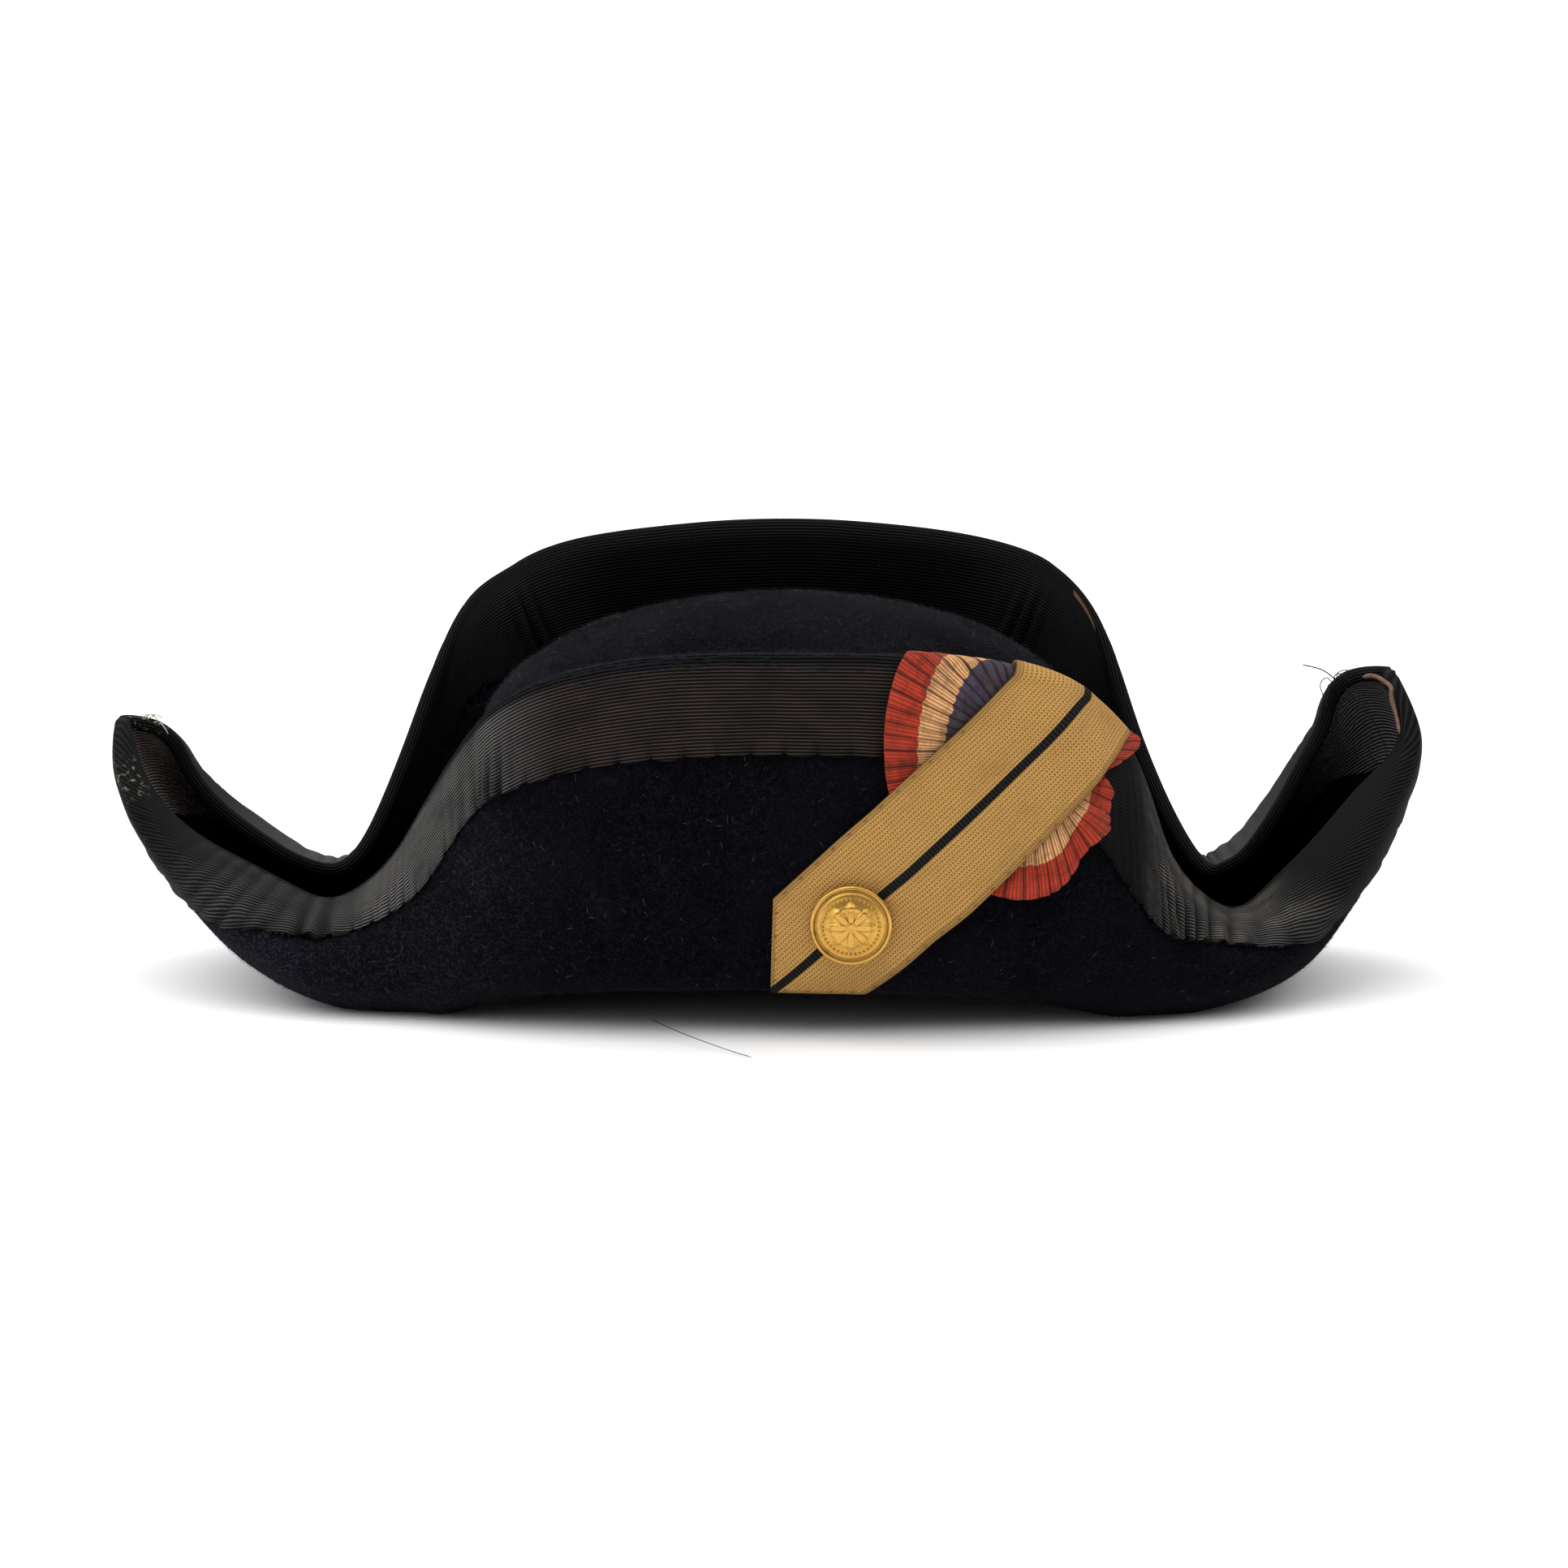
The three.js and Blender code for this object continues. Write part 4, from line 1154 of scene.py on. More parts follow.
def thread(solid, path, radius, sides=5):
    """A thread along a path, closed and thin at its ends."""
    path = np.asarray(path, float)
    ahead = unit(np.gradient(path, axis=0))
    right = unit(np.cross(ahead, [0.31, 0.52, 0.79]))
    up = np.cross(ahead, right)
    girth = radius * np.minimum(1, np.sin(np.linspace(0.02, math.pi - 0.02, len(path))) * 6)
    turns = np.linspace(0, 2 * math.pi, sides, endpoint=False)
    spokes = right[:, None] * np.cos(turns)[:, None] + up[:, None] * np.sin(turns)[:, None]
    rings = path[:, None] + spokes * girth[:, None, None]
    start = solid.corners(rings.reshape(-1, 3))
    index = start + np.arange(len(path) * sides).reshape(len(path), sides)
    beside = np.roll(index, -1, 1)
    quads = np.stack([index[:-1], beside[:-1], beside[1:], index[1:]], -1).reshape(-1, 4)
    ends = solid.corners(path[[0, -1]])
    first, last = np.full(sides, ends), np.full(sides, ends + 1)
    tips = [
        np.stack([beside[0], index[0], first, first], -1),
        np.stack([index[-1], beside[-1], last, last], -1),
    ]
    quads = np.concatenate([quads, *tips])
    solid.quads(quads, np.zeros(quads.shape + (2,)))


def curved(points, count):
    """A smooth path through a few points."""
    line = smooth_lines(np.asarray(points, float)[None], 12)[0]
    reach = arc(line)
    wanted = np.linspace(0, reach[-1], count)
    return np.stack([np.interp(wanted, reach, line[:, k]) for k in range(3)], -1)


# Materials


class Shader(Nodes):
    """One material's nodes."""

    def __init__(self, name):
        self.material = bpy.data.materials.new(name)
        self.material.use_nodes = True
        self.tree = self.material.node_tree
        self.tree.nodes.clear()

    def place(self):
        return self.add("ShaderNodeTexCoord", output="Object")

    def cloth(self):
        """The piece's own UVs as two values, in millimetres."""
        uv = self.add("ShaderNodeUVMap", {"uv_map": "cloth"})
        parts = self.add("ShaderNodeSeparateXYZ", inputs={0: uv})
        return parts, Value(self, parts.socket.node.outputs[1])

    def noise(self, scale, detail=3, vector=None, rough=0.55, distortion=0.0):
        return self.add(
            "ShaderNodeTexNoise",
            inputs={
                "Vector": vector or self.place(), "Scale": scale, "Detail": detail,
                "Roughness": rough, "Distortion": distortion,
            },
        )  # fmt: skip

    def spot(self, axis):
        """One of the piece's own coordinates, in metres."""
        return self.add("ShaderNodeSeparateXYZ", inputs={0: self.place()}, output=axis)

    def weave(self, x, y, detail, rough=0.55):
        """Noise over two values, which stretch it along the cloth's own lines."""
        vector = self.add("ShaderNodeCombineXYZ", inputs={0: x, 1: y})
        return self.noise(1.0, detail, vector, rough)

    def blend(self, a, b, share):
        """Two colours mixed by a share."""
        return self.add("ShaderNodeMix", {"data_type": "RGBA"}, {0: share, 6: a, 7: b}, output=2)

    def finish(self, height=None, depth=0.2, **sockets):
        """The surface itself. Constants are set on its own sockets; a height goes through Bump."""
        names = {name.replace("_", " "): value for name, value in sockets.items()}
        if height is not None:
            bump = {"Height": height, "Distance": depth * MM, "Strength": 1.0}
            names["Normal"] = self.add("ShaderNodeBump", inputs=bump)
        surface = self.add("ShaderNodeBsdfPrincipled", inputs=names)
        output = self.tree.nodes.new("ShaderNodeOutputMaterial")
        self.tree.links.new(surface.socket, output.inputs["Surface"])
        return self.material


def toned(colour, share):
    return tuple(min(c * share, 1) for c in colour)


def felt_material(look):
    s = Shader("black_felt")
    nap = s.noise(1500, 3, rough=0.7, distortion=0.8)
    curl = s.noise(480, 4, rough=0.65, distortion=1.6)
    cloud = s.noise(24, 3)
    dust = s.noise(60, 4, rough=0.7)
    dark = look.felt_colour
    # Painted light: the left lobe, which faces the left lamp, and a little of the crown top get a paler felt
    # colour, a painted bluish sheen.
    lit_left_lobe = 1 - s.spot(0).above(-0.12, -0.055)
    crown_top = s.spot(2).above(0.085, 0.11)
    tone = nap.above(0.42, 0.68) * curl.above(0.4, 0.62)
    base = s.blend(toned(dark, 0.3), toned(dark, 3.4), tone)
    base = s.blend(base, toned(dark, 2.2), cloud.above(0.42, 0.7) * 0.35)
    painted_sheen = s.blend(toned(dark, 1.7), toned(look.nap_colour, 1.25), tone)
    base = s.blend(base, painted_sheen, (lit_left_lobe + crown_top * 0.22) * (0.4 + 0.6 * cloud.above(0.3, 0.6)))
    base = s.blend(base, (0.03, 0.03, 0.034), dust.above(0.6, 0.8) * 0.2)
    return s.finish(
        height=nap * 0.6 + curl * 0.7,
        depth=0.5,
        Base_Color=base,
        Roughness=0.95,
        Specular_IOR_Level=0.03,
        Sheen_Weight=0.012,
        Sheen_Roughness=0.4,
        Sheen_Tint=(0.8, 0.85, 1.0),
    )


def nap_material(look):
    s = Shader("felt_nap")
    each = s.noise(1500, 2)
    patch = s.noise(45, 3, distortion=1.0)
    lit_left_lobe = 1 - s.spot(0).above(-0.12, -0.055)
    dark = look.felt_colour
    # Some fibres are lighter at random; painted light makes many more of them light on the left lobe.
    light = each.above(0.42, 0.66) * (0.3 + 0.5 * patch.above(0.35, 0.65) + 1.4 * lit_left_lobe)
    base = s.blend(toned(dark, 0.5), look.nap_colour, light)
    return s.finish(Base_Color=base, Roughness=0.7, Specular_IOR_Level=0.12)


def ribbon_material(look):
    s = Shader("ribbed_black_ribbon")
    along, away = s.cloth()
    wander = s.weave(along * 0.02, away * 0.02, 2) - 0.5
    rear = along.above(1000, 1001)
    front = 1 - rear
    spot = along - REAR_SHIFT * rear
    horn = spot.size().above(205, 265) * front
    slant = spot.size().above(190, 290) * front * 26
    phase = (away * (horn * 0.1 + 1) + slant + wander * 1.6) * (2 * math.pi / look.rib_pitch)
    rib = phase.wave() ** 1.7 * (1 - horn * 0.35) + horn * 0.14
    thread = s.weave(along * 2.2, away * 0.9, 3, 0.7)
    streak = s.weave(along * 0.045, away * 1.1, 4, 0.65)
    patch = s.weave(along * 0.05, away * 0.09, 4, 0.6)
    fleck = s.weave(along * 1.1, away * 1.1, 2, 0.6)
    outside = 1 - away.above(-9.5, -7.5)
    black = look.ribbon_colour
    grey = look.lit_grey_colour
    brown = look.worn_colour
    crease = s.add("ShaderNodeAttribute", {"attribute_name": "crease"}, output=2)

    def ribbed(colour, share=1.0):
        light = toned(colour, 2.5 * share)
        return s.blend(toned(colour, 0.12), light, rib * (0.75 + 0.5 * streak))

    base = ribbed(black)
    middle = spot.near(-5, 60, 112) * outside * front
    base = s.blend(base, ribbed(brown), middle * (0.45 + 0.55 * patch.above(0.3, 0.65)))
    # Painted light: the left shoulder faces the left lamp and the dips face up to the top lamp, so their ribs
    # are painted grey.
    shoulder = spot.near(-128, 30, 62) * outside * front
    left_dip = spot.near(-195, 20, 60) * outside * front
    right_dip = spot.near(176, 24, 54) * outside * front
    lit_bends = shoulder + 0.45 * left_dip + 0.75 * right_dip
    base = s.blend(base, ribbed(grey), lit_bends * (0.5 + 0.5 * patch.above(0.25, 0.6)))
    # A painted sheen in patches on the right dip.
    sheen = right_dip * patch.above(0.5, 0.62) * 0.6
    base = s.blend(base, ribbed((0.085, 0.075, 0.062)), sheen)
    # Painted light: the ribbon inside each tip is painted lighter, most of all at the left tip.
    lit_left_inside = (1 - spot.above(-285, -240)) * away.above(0, 3)
    base = s.blend(base, ribbed((0.16, 0.13, 0.12)), lit_left_inside)
    lit_right_inside = spot.above(248, 296) * away.above(0, 3)
    base = s.blend(base, ribbed((0.075, 0.072, 0.072)), lit_right_inside)
    # Painted light: the outside of the rear ribbon towards the horns, where it turns up, is painted a lighter
    # grey.
    lit_rear_outside = spot.size().above(170, 215) * (1 - spot.size().above(225, 285) * 0.85) * outside * rear
    base = s.blend(base, ribbed(grey, 1.3), lit_rear_outside)
    # Painted shadow: the inside of the rear ribbon goes near black in the middle, by the crown.
    shaded_rear_middle = spot.near(0, 50, 105) * rear * away.above(0, 7)
    base = s.blend(base, (0.0003, 0.0003, 0.0003), shaded_rear_middle * 0.9)
    base = s.blend(base, (0.09, 0.085, 0.08), thread.above(0.66, 0.82) * 0.3)
    base = s.blend(base, (0.2, 0.19, 0.18), fleck.above(0.74, 0.8) * 0.5)
    left_wear = spot.near(-271, 3, 9) * outside * front * away.near(-15, 4, 8)
    left_top = 1 - spot.above(-312, -300)
    worn = s.weave(along * 0.5, away * 0.5, 4, 0.8).above(0.54, 0.62)
    worn = worn * (left_wear + left_top * away.near(-5, 3, 6) * rear)
    base = s.blend(base, (0.3, 0.26, 0.2), worn * 0.7)
    rub = spot.near(113, 6.5, 8) * away.near(1.0, 0.8, 1.2) * rear
    base = s.blend(base, (0.17, 0.085, 0.055), rub)
    # Painted shade in the valleys of the folds and at the stitches, from the corners' notes.
    base = s.blend(base, (0.0015, 0.0015, 0.0015), crease * 0.9)
    return s.finish(
        height=rib + thread * 0.4 + worn,
        depth=0.32,
        Base_Color=base,
        Roughness=0.5 + 0.2 * streak,
        Specular_IOR_Level=0.025,
    )


def cockade_material(look):
    s = Shader("pleated_tricolour_ribbon")
    turn, radius = s.cloth()
    soft = (s.weave(turn * 9, radius * 0.12, 3) - 0.5) * 0.8
    phase = turn * PLEATS + (turn * 5).sine() * 0.9 + (turn * 13).sine() * 0.8
    ridge = (phase * 0.5 + math.pi / 2).sine().size()
    edge = radius + soft + ridge * 0.7
    dirt = s.weave(turn * 5, radius * 0.25, 4, 0.7)
    fade = s.weave(turn * 2, radius * 0.08, 3)
    fray = s.weave(turn * 60, radius * 0.5, 3, 0.7)
    fine = (turn * 270.0).wave()

    def dyed(colour, dark):
        light = toned(colour, 1.25)
        shade = s.blend(toned(colour, dark), colour, dirt.above(0.3, 0.6))
        return s.blend(shade, light, fray.above(0.5, 0.75) * 0.6)

    base = s.blend((0.03, 0.022, 0.02), dyed(look.navy_colour, 0.35), edge.above(15.5, 16.5))
    base = s.blend(base, dyed(look.cream_colour, 0.55), edge.above(26.6, 26.9))
    base = s.blend(base, dyed(look.red_colour, 0.5), edge.above(34.7, 35.0))
    base = s.blend(base, (0.05, 0.022, 0.012), (1 - fine) ** 1.3 * (0.45 + 0.5 * fray))
    # Painted shade in the valleys of the pleats, darker towards the middle where the pleats are deep.
    deep = 1 - edge.above(19, 33)
    crease = (1 - ridge).above(0.3, 1.0) * 0.85 + (1 - ridge).above(0.1, 0.6) * deep * 0.6
    base = s.blend(base, (0.025, 0.012, 0.009), crease)
    base = s.blend(base, (0.12, 0.07, 0.04), fade.above(0.5, 0.75) * 0.3)
    return s.finish(
        height=fine * 0.8 + dirt * 0.4,
        depth=0.28,
        Base_Color=base,
        Roughness=0.75,
        Specular_IOR_Level=0.12,
        Sheen_Weight=0.03,
    )


def lace_material(look):
    s = Shader("woven_gold_lace")
    across, up = s.cloth()
    pitch = look.lace_pitch
    shift = (across * (math.pi / (pitch * 0.675))).sine() * 1.57
    row = (up * (2 * math.pi / pitch) + shift).wave()
    column = (across * (2 * math.pi / (pitch * 1.35))).wave()
    holes = (1 - row).above(0.55, 1.0) * (1 - column).above(0.4, 1.0)
    thread = s.weave(across * 1.6, up * 3.0, 4, 0.7)
    tarnish = s.weave(across * 0.06, up * 0.03, 4, 0.65)
    gold = look.lace_colour
    base = s.blend(toned(gold, 0.7), toned(gold, 1.35), row * 0.6 + column * 0.4)
    base = s.blend(base, toned(gold, 0.3), holes * (0.5 + 0.5 * thread))
    base = s.blend(base, toned(gold, 0.62), tarnish.above(0.42, 0.72) * 0.5)
    base = s.blend(base, toned(gold, 1.5), thread.above(0.6, 0.8) * 0.25)
    low = 1 - up.above(25, 70)
    base = s.blend(base, toned(gold, 1.5), low * 0.3 * row)
    half = STRAP_WIDTH / 2
    side = across.size()
    selvedge = side.above(half - 2.0, half - 1.7)
    point = 1 - (up - side).above(1.4, 1.8)
    hem = 1 - (1 - selvedge) * (1 - point)
    cord = (up * (2 * math.pi / 0.8) + across * 3).wave()
    lines = (side * (2 * math.pi / 0.95) + 1.2).wave()
    cords = s.blend(toned(gold, 0.4), toned(gold, 0.95), cord * 0.3 + lines * 0.7)
    base = s.blend(base, cords, hem)
    rim_line = side.above(half - 0.35, half - 0.15)
    base = s.blend(base, (0.1, 0.05, 0.02), rim_line * 0.6)
    stripe = 1 - side.above(1.3, 1.5)
    ribs = (up * (2 * math.pi / 1.15)).wave()
    base = s.blend(base, s.blend((0.003, 0.003, 0.003), (0.016, 0.015, 0.014), ribs), stripe)
    plain = (row * 0.6 + column * 0.5 + thread * 0.3 - holes * 0.8) * (1 - stripe) * (1 - hem)
    return s.finish(
        height=plain + ribs * stripe * 0.9 + (cord * 0.3 + lines * 0.6) * hem,
        depth=0.2,
        Base_Color=base,
        Roughness=0.55 + 0.15 * thread + stripe * 0.3,
        Metallic=0.12 * (1 - stripe),
        Specular_IOR_Level=0.08,
    )


def gilt_material(look):
    s = Shader("gilt")
    scratch = s.noise(900, 3)
    stain = s.noise(170, 4, rough=0.65)
    _, radius = s.cloth()
    ring = radius.near(10.9, 0.25, 0.8)
    groove = radius.near(6.2, 0.1, 0.5)
    worn = stain.above(0.5, 0.72) * 0.5 + ring * 0.6 + groove * 0.3
    base = s.blend(look.gilt_colour, (0.16, 0.075, 0.018), worn)
    return s.finish(height=scratch, depth=0.05, Base_Color=base, Roughness=0.22 + 0.25 * stain, Metallic=1.0)


def plain_material(name, colour):
    s = Shader(name)
    tone = s.noise(900, 3)
    base = s.blend(toned(colour, 0.6), colour, tone.above(0.35, 0.65))
    return s.finish(height=tone, depth=0.1, Base_Color=base, Roughness=0.9, Specular_IOR_Level=0.1)


# Materials of one colour each: name and colour.
PLAIN = {
    "thread": ("navy_thread", (0.012, 0.013, 0.022)),
    "lint": ("pale_lint", (0.17, 0.165, 0.16)),
    "fray": ("pale_fray", (0.7, 0.66, 0.58)),
    "bare": ("bare_brown_edge", (0.2, 0.115, 0.085)),
    "gold_thread": ("gold_thread", (0.16, 0.09, 0.035)),
}
WOVEN = {
    "felt": felt_material,
    "nap": nap_material,
    "ribbon": ribbon_material,
    "cockade": cockade_material,
    "lace": lace_material,
    "gilt": gilt_material,
}
MATERIALS = {}


def material(name):
    """The material of a kind, made once."""
    if name not in MATERIALS:
        look = bpy.context.scene.hat_look
        MATERIALS[name] = plain_material(*PLAIN[name]) if name in PLAIN else WOVEN[name](look)
    return MATERIALS[name]


# Properties, operators and panel


def colour_property(name, description, default):
    return bpy.props.FloatVectorProperty(
        name=name, description=description, subtype="COLOR", size=3, min=0, max=1, default=default
    )


def number_property(name, description, default, **kind):
    return bpy.props.FloatProperty(name=name, description=description, default=default, **kind)


def length_property(name, description, default):
    return number_property(name, description, default, subtype="DISTANCE", unit="LENGTH")


class HatLook(bpy.types.PropertyGroup):
    """Colours and weaves of the hat."""

    felt_colour: colour_property("Felt", "Mean colour of the felt", (0.0024, 0.0022, 0.0038))
    nap_colour: colour_property("Nap", "Colour of the lighter fibres", (0.026, 0.027, 0.036))
    ribbon_colour: colour_property("Ribbon", "Mean colour of the edge ribbon", (0.0072, 0.0072, 0.0074))
    worn_colour: colour_property("Worn", "Ribs of the rubbed front ribbon", (0.0225, 0.017, 0.0155))
    # Painted light: the grey of the ribbon's ribs where it faces the lamps.
    lit_grey_colour: colour_property("Lit grey", "Ribs of the greyed ribbon at the bends", (0.062, 0.06, 0.058))
    red_colour: colour_property("Red", "Outer band of the cockade", (0.47, 0.037, 0.016))
    cream_colour: colour_property("Cream", "Middle band of the cockade", (0.84, 0.43, 0.185))
    navy_colour: colour_property("Navy", "Inner band of the cockade", (0.055, 0.055, 0.095))
    lace_colour: colour_property("Lace", "Gold thread of the strap", (0.41, 0.227, 0.066))
    gilt_colour: colour_property("Gilt", "Metal of the button", (0.6, 0.34, 0.076))
    rib_pitch: number_property("Rib pitch", "From rib to rib of the ribbon, in millimetres", 1.06)
    lace_pitch: number_property("Lace pitch", "From thread to thread of the lace, in millimetres", 0.93)
    nap_length: length_property("Nap length", "Longest fibres of the felt's nap", 0.0026)
    nap_density: number_property("Nap density", "Fibres on a square millimetre of the front", 1.15)


class HatStage(bpy.types.PropertyGroup):
    """Camera, floor and lights."""

    distance: length_property("Distance", "From the camera to the hat's middle", 1.3)
    elevation: number_property("Elevation", "Camera over the level", math.radians(10), subtype="ANGLE")
    lens: number_property("Lens", "Focal length in millimetres", 91.7)
    aim_height: length_property("Aim", "Height that the camera looks at", 0.0634)
    sky: number_property("Sky", "Strength of the even light", 0.14)


class HAT_OT_felt(bpy.types.Operator):
    """Make the felt crown and brim, with the nap and lint on it"""

    bl_idname = "hat.felt"
    bl_label = "Felt"

    def execute(self, context):
        look = context.scene.hat_look
        half = FELT / 2
        skin = felt_skin()
        solid = thick(skin, half, half)
        nap = np.tile(skin.notes, 2)
        felt = solid.piece("felt_body_fine", material("felt"), "felt", "felt_body", nap=nap)
        growth = nap_growth()
        for name, facing, start, end, share, tilt, kind in NAP_PARTS:
            fibres = growth.grow(
                felt.data, name,
                Density=look.nap_density * share * PER_SQUARE_METRE,
                Length=look.nap_length, Width=FIBRE_WIDTH,
                Tilt=tilt, Facing=facing, From=start, To=end, Seed=NAP_SEEDS[kind], Material=material(kind),
            )  # fmt: skip
            place_piece(fibres)
        return {"FINISHED"}


class HAT_OT_ribbon(bpy.types.Operator):
    """Make the ribbon that binds the edge, with the stitches along its border"""

    bl_idname = "hat.ribbon"
    bl_label = "Edge ribbon"

    def execute(self, context):
        solid, crease = ribbon_solid()
        solid.piece("edge_ribbon_fine", material("ribbon"), "black_ribbon", "edge_ribbon", crease=crease)
        growth = sewing_growth()
        for side, name in ((FRONT, "stitches_front"), (REAR, "stitches_rear")):
            points, out, lie = border_stitches(side)
            mesh = spots_mesh(points, out, lie)
            stitches = growth.grow(mesh, name, **STITCH, Material=material("thread"))
            place_piece(stitches)
        return {"FINISHED"}


class HAT_OT_threads(bpy.types.Operator):
    """Make the loose threads along the front edge, the frays and the stray thread"""

    bl_idname = "hat.threads"
    bl_label = "Loose threads"

    def execute(self, context):
        flap = Flap()
        rng = np.random.default_rng(11)
        solid = Solid()
        for _ in range(LOOSE_THREADS):
            start = rng.uniform(-88, 5)
            along = np.linspace(start, start + rng.uniform(25, 75), LOOSE_POINTS)
            drop = rng.uniform(-4, 1.5) + np.cumsum(rng.normal(0, 0.45, LOOSE_POINTS))
            lift = RIBBON_TOP + 0.35 + np.abs(np.cumsum(rng.normal(0, 0.22, LOOSE_POINTS)))
            lift = np.clip(lift, RIBBON_TOP + 0.3, RIBBON_TOP + 2.2)
            path = flap.draped(along, np.clip(drop, -7, 3), lift)
            thread(solid, curved(path, LOOSE_STEPS), rng.uniform(0.07, 0.12))
        thread(solid, curved(np.array(STRAY) - CROWN_AT, 50), 0.12)
        frayed(solid, FRAYS, 0, 40)
        solid.piece("loose_threads", material("thread"), "black_ribbon")
        pale = Solid()
        frayed(pale, PALE_FRAYS, PALE_SHIFT, 30)
        pale.piece("pale_frays", material("fray"), "black_ribbon")
        bare = Solid()
        places = np.linspace(*BARE_PLACES, 12)
        drop = np.full(len(places), BARE_DROP)
        side = flap.spot(places + PLACE_STEP, drop) - flap.spot(places - PLACE_STEP, drop)
        out = unit(np.cross(side, flap.spot(places, drop - 1) - flap.spot(places, drop + 1)))
        front_edge = flap.spot(places, drop) + out * (RIBBON_TOP + 0.1)
        rear_edge = edge_points(np.linspace(LAST, BARE_REAR, 4)[1:], REAR)
        line = np.concatenate([front_edge, rear_edge + BARE_SHIFT])
        thread(bare, curved(line, 90), BARE_RADIUS)
        bare.piece("bare_edge", material("bare"), "black_ribbon")
        return {"FINISHED"}


class HAT_OT_cockade(bpy.types.Operator):
    """Make the pleated cockade"""

    bl_idname = "hat.cockade"
    bl_label = "Cockade"

    def execute(self, context):
        half = COCKADE_CLOTH / 2
        solid = thick(cockade_skin(Flap()), half, half)
        solid.piece("cockade_fine", material("cockade"), "cockade_ribbon", "cockade")
        return {"FINISHED"}


class HAT_OT_strap(bpy.types.Operator):
    """Make the lace strap"""

    bl_idname = "hat.strap"
    bl_label = "Lace strap"

    def execute(self, context):
        flap = Flap()
        skin = strap_skin(flap)
        across = skin.corner_uvs()[:, 0]
        solid = thick(skin, STRAP / 2 + strap_relief(across), STRAP / 2)
        solid.piece("lace_strap_fine", material("lace"), "gold_lace", "lace_strap")
        mesh = spots_mesh(*strap_stitches(flap))
        wanted = {**STRAP_STITCH, "Material": material("gold_thread")}
        place_piece(sewing_growth().grow(mesh, "strap_stitches", **wanted))
        return {"FINISHED"}


class HAT_OT_button(bpy.types.Operator):
    """Make the gilt button"""

    bl_idname = "hat.button"
    bl_label = "Button"

    def execute(self, context):
        solid, base, out, right = button_solid(Flap())
        solid.piece("button_fine", material("gilt"), "gilt", "button")
        turns = np.linspace(0, 2 * math.pi, BEADS, endpoint=False)[:, None]
        radial = right * np.cos(turns) + np.cross(out, right) * np.sin(turns)
        points = base + radial * BUTTON_DIAMETER * BEADS_OUT + out * BUTTON_HEIGHT * BEADS_UP
        outs = np.broadcast_to(out, points.shape)
        mesh = spots_mesh(points, outs, radial)
        wanted = {"Length": BEAD, "Width": BEAD, "Material": material("gilt")}
        place_piece(sewing_growth().grow(mesh, "button_beads", **wanted))
        return {"FINISHED"}


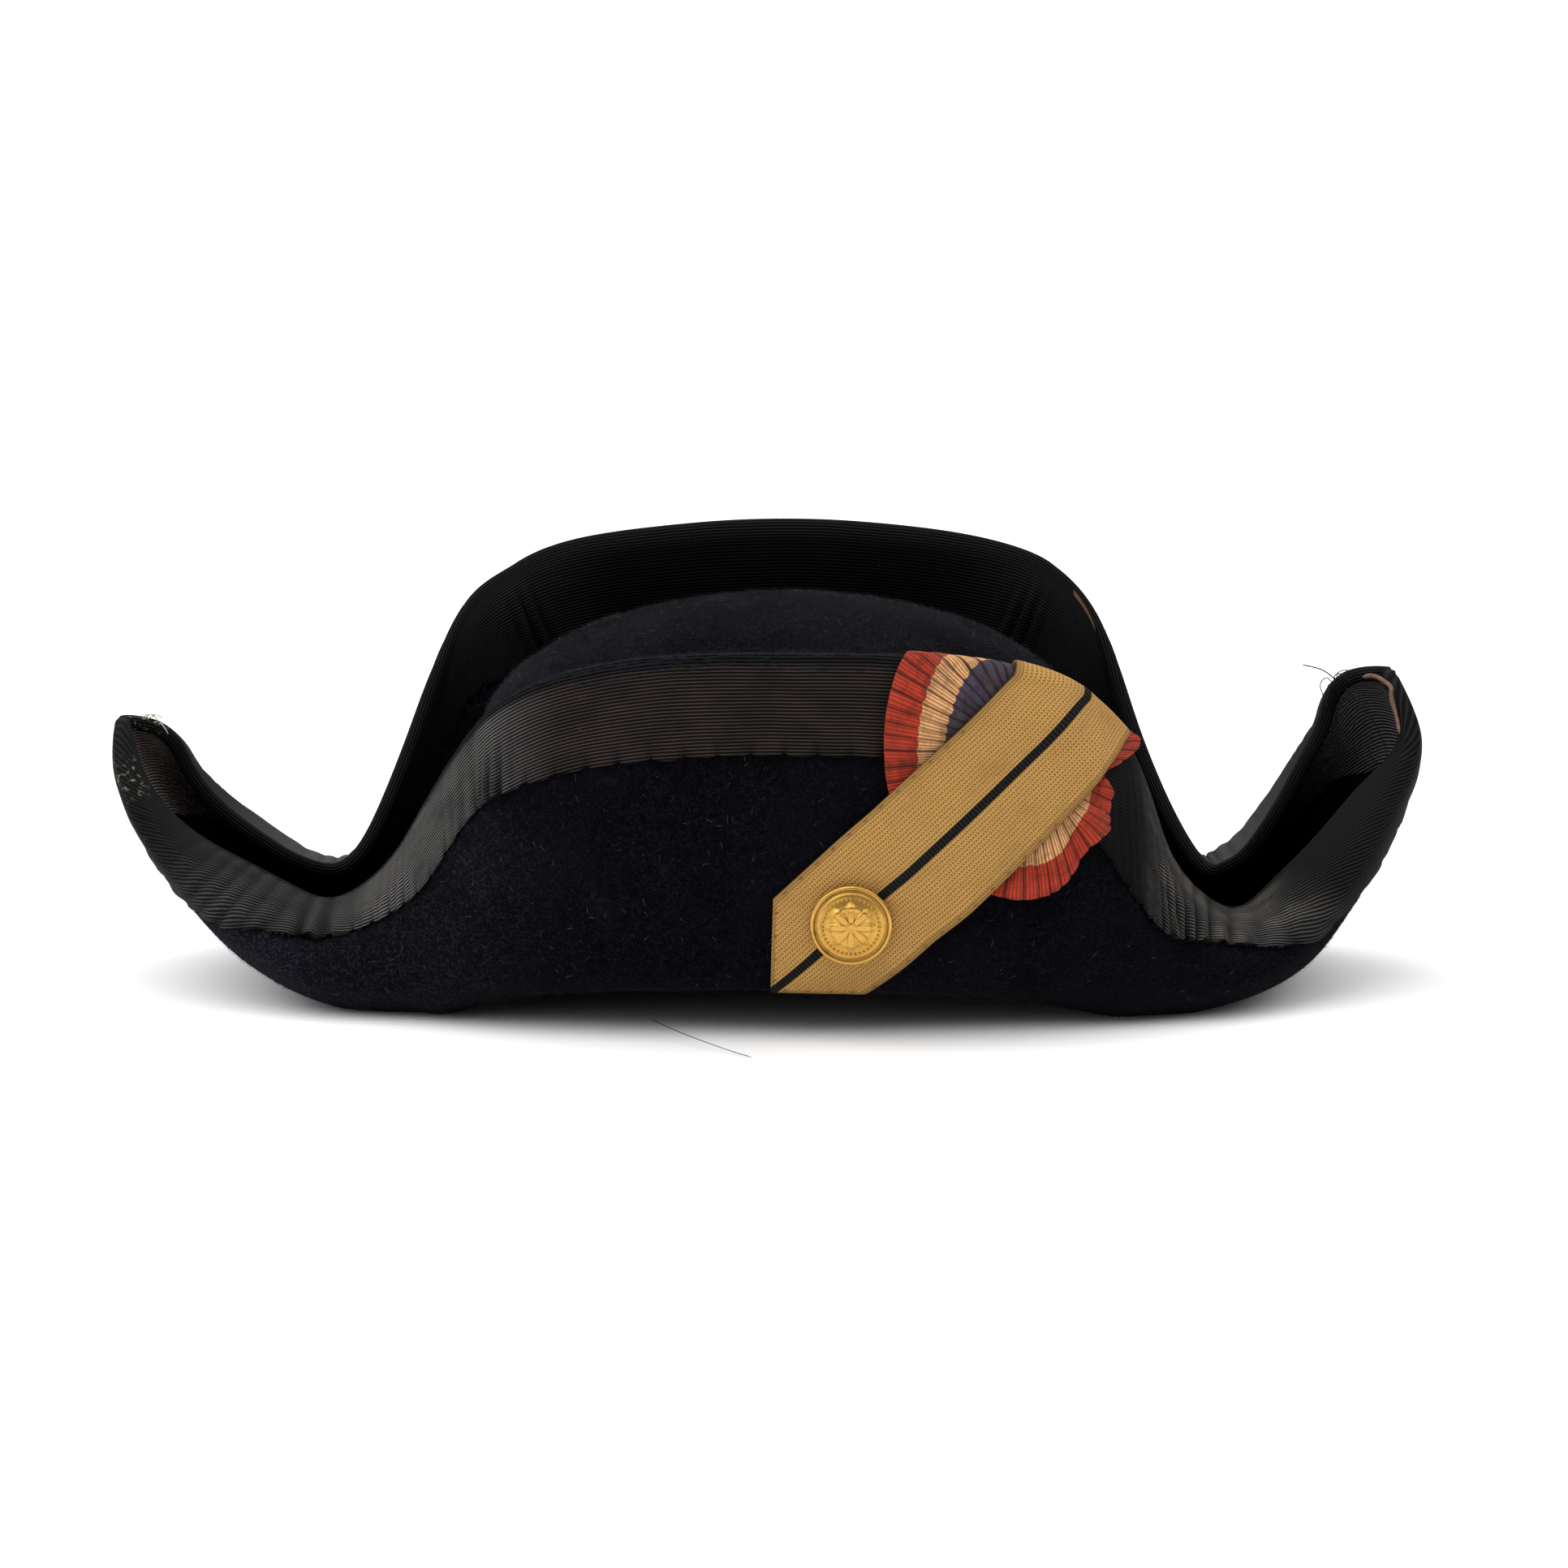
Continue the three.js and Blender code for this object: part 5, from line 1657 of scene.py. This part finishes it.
class HAT_OT_stage(bpy.types.Operator):
    """Make the floor, the lights and the camera"""

    bl_idname = "hat.stage"
    bl_label = "Stage"

    def execute(self, context):
        stage = context.scene.hat_stage
        scene = context.scene
        scene.view_settings.view_transform = "Standard"
        bpy.ops.mesh.primitive_circle_add(vertices=96, radius=ROOM - 0.1, fill_type="NGON")
        floor = context.active_object
        floor.name = "floor"
        s = Shader("pale_floor")
        base = s.blend((0.93, 0.935, 0.94), (0.96, 0.96, 0.96), s.noise(3, 2))
        floor.data.materials.append(s.finish(Base_Color=base, Roughness=0.9, Specular_IOR_Level=0.0))

        bpy.ops.mesh.primitive_uv_sphere_add(segments=64, ring_count=32, radius=ROOM)
        backdrop = context.active_object
        backdrop.name = "backdrop"
        s = Shader("white_backdrop")
        light = {"Emission_Color": (1, 1, 1), "Emission_Strength": BACKDROP_LIGHT}
        backdrop.data.materials.append(s.finish(Base_Color=(0, 0, 0), Specular_IOR_Level=0.0, **light))
        for ray in ("diffuse", "glossy", "transmission", "volume_scatter", "shadow"):
            setattr(backdrop, "visible_" + ray, False)

        world = bpy.data.worlds.new("studio")
        world.use_nodes = True
        world.node_tree.nodes["Background"].inputs["Color"].default_value = (1, 1, 1, 1)
        world.node_tree.nodes["Background"].inputs["Strength"].default_value = stage.sky
        scene.world = world

        middle = np.array([CROWN_AT[0] * MM, CROWN_AT[1] * MM, stage.aim_height])
        for name, azimuth, height, width, share in SUNS:
            light = bpy.data.lights.new(name, "SUN")
            light.angle = math.radians(width)
            light.energy = math.pi * share / math.sin(math.radians(height))
            lamp = bpy.data.objects.new(name, light)
            context.collection.objects.link(lamp)
            level = math.cos(math.radians(height))
            turn = math.radians(azimuth)
            toward = (level * math.sin(turn), -level * math.cos(turn), math.sin(math.radians(height)))
            lamp.location = np.array(toward) * 3
            lamp.rotation_euler = (-Vector(toward)).to_track_quat("-Z", "Y").to_euler()

        back = np.array([0, -math.cos(stage.elevation), math.sin(stage.elevation)])
        camera = bpy.data.objects.new("camera", bpy.data.cameras.new("camera"))
        context.collection.objects.link(camera)
        camera.data.sensor_width = 36
        camera.data.lens = stage.lens
        camera.data.clip_end = 50
        camera.location = middle + back * stage.distance
        camera.rotation_euler = (math.pi / 2 - stage.elevation, 0, 0)
        scene.camera = camera
        return {"FINISHED"}


class HAT_PT_panel(bpy.types.Panel):
    """The hat's pieces and looks"""

    bl_label = "Bicorne hat"
    bl_idname = "HAT_PT_panel"
    bl_space_type = "VIEW_3D"
    bl_region_type = "UI"
    bl_category = "Hat"

    def draw(self, context):
        for operator in OPERATORS:
            self.layout.operator(operator.bl_idname)
        for group in (context.scene.hat_look, context.scene.hat_stage):
            for name in group.__annotations__:
                self.layout.prop(group, name)


OPERATORS = (
    HAT_OT_felt, HAT_OT_ribbon, HAT_OT_threads, HAT_OT_cockade, HAT_OT_strap, HAT_OT_button, HAT_OT_stage,
)  # fmt: skip
CLASSES = (HatLook, HatStage, *OPERATORS, HAT_PT_panel)


def register():
    for each in CLASSES:
        bpy.utils.register_class(each)
    bpy.types.Scene.hat_look = bpy.props.PointerProperty(type=HatLook)
    bpy.types.Scene.hat_stage = bpy.props.PointerProperty(type=HatStage)


def unregister():
    del bpy.types.Scene.hat_stage
    del bpy.types.Scene.hat_look
    for each in reversed(CLASSES):
        bpy.utils.unregister_class(each)


def main():
    register()
    bpy.ops.hat.felt()
    bpy.ops.hat.ribbon()
    bpy.ops.hat.threads()
    bpy.ops.hat.cockade()
    bpy.ops.hat.strap()
    bpy.ops.hat.button()
    bpy.ops.hat.stage()


if __name__ == "__main__":
    main()
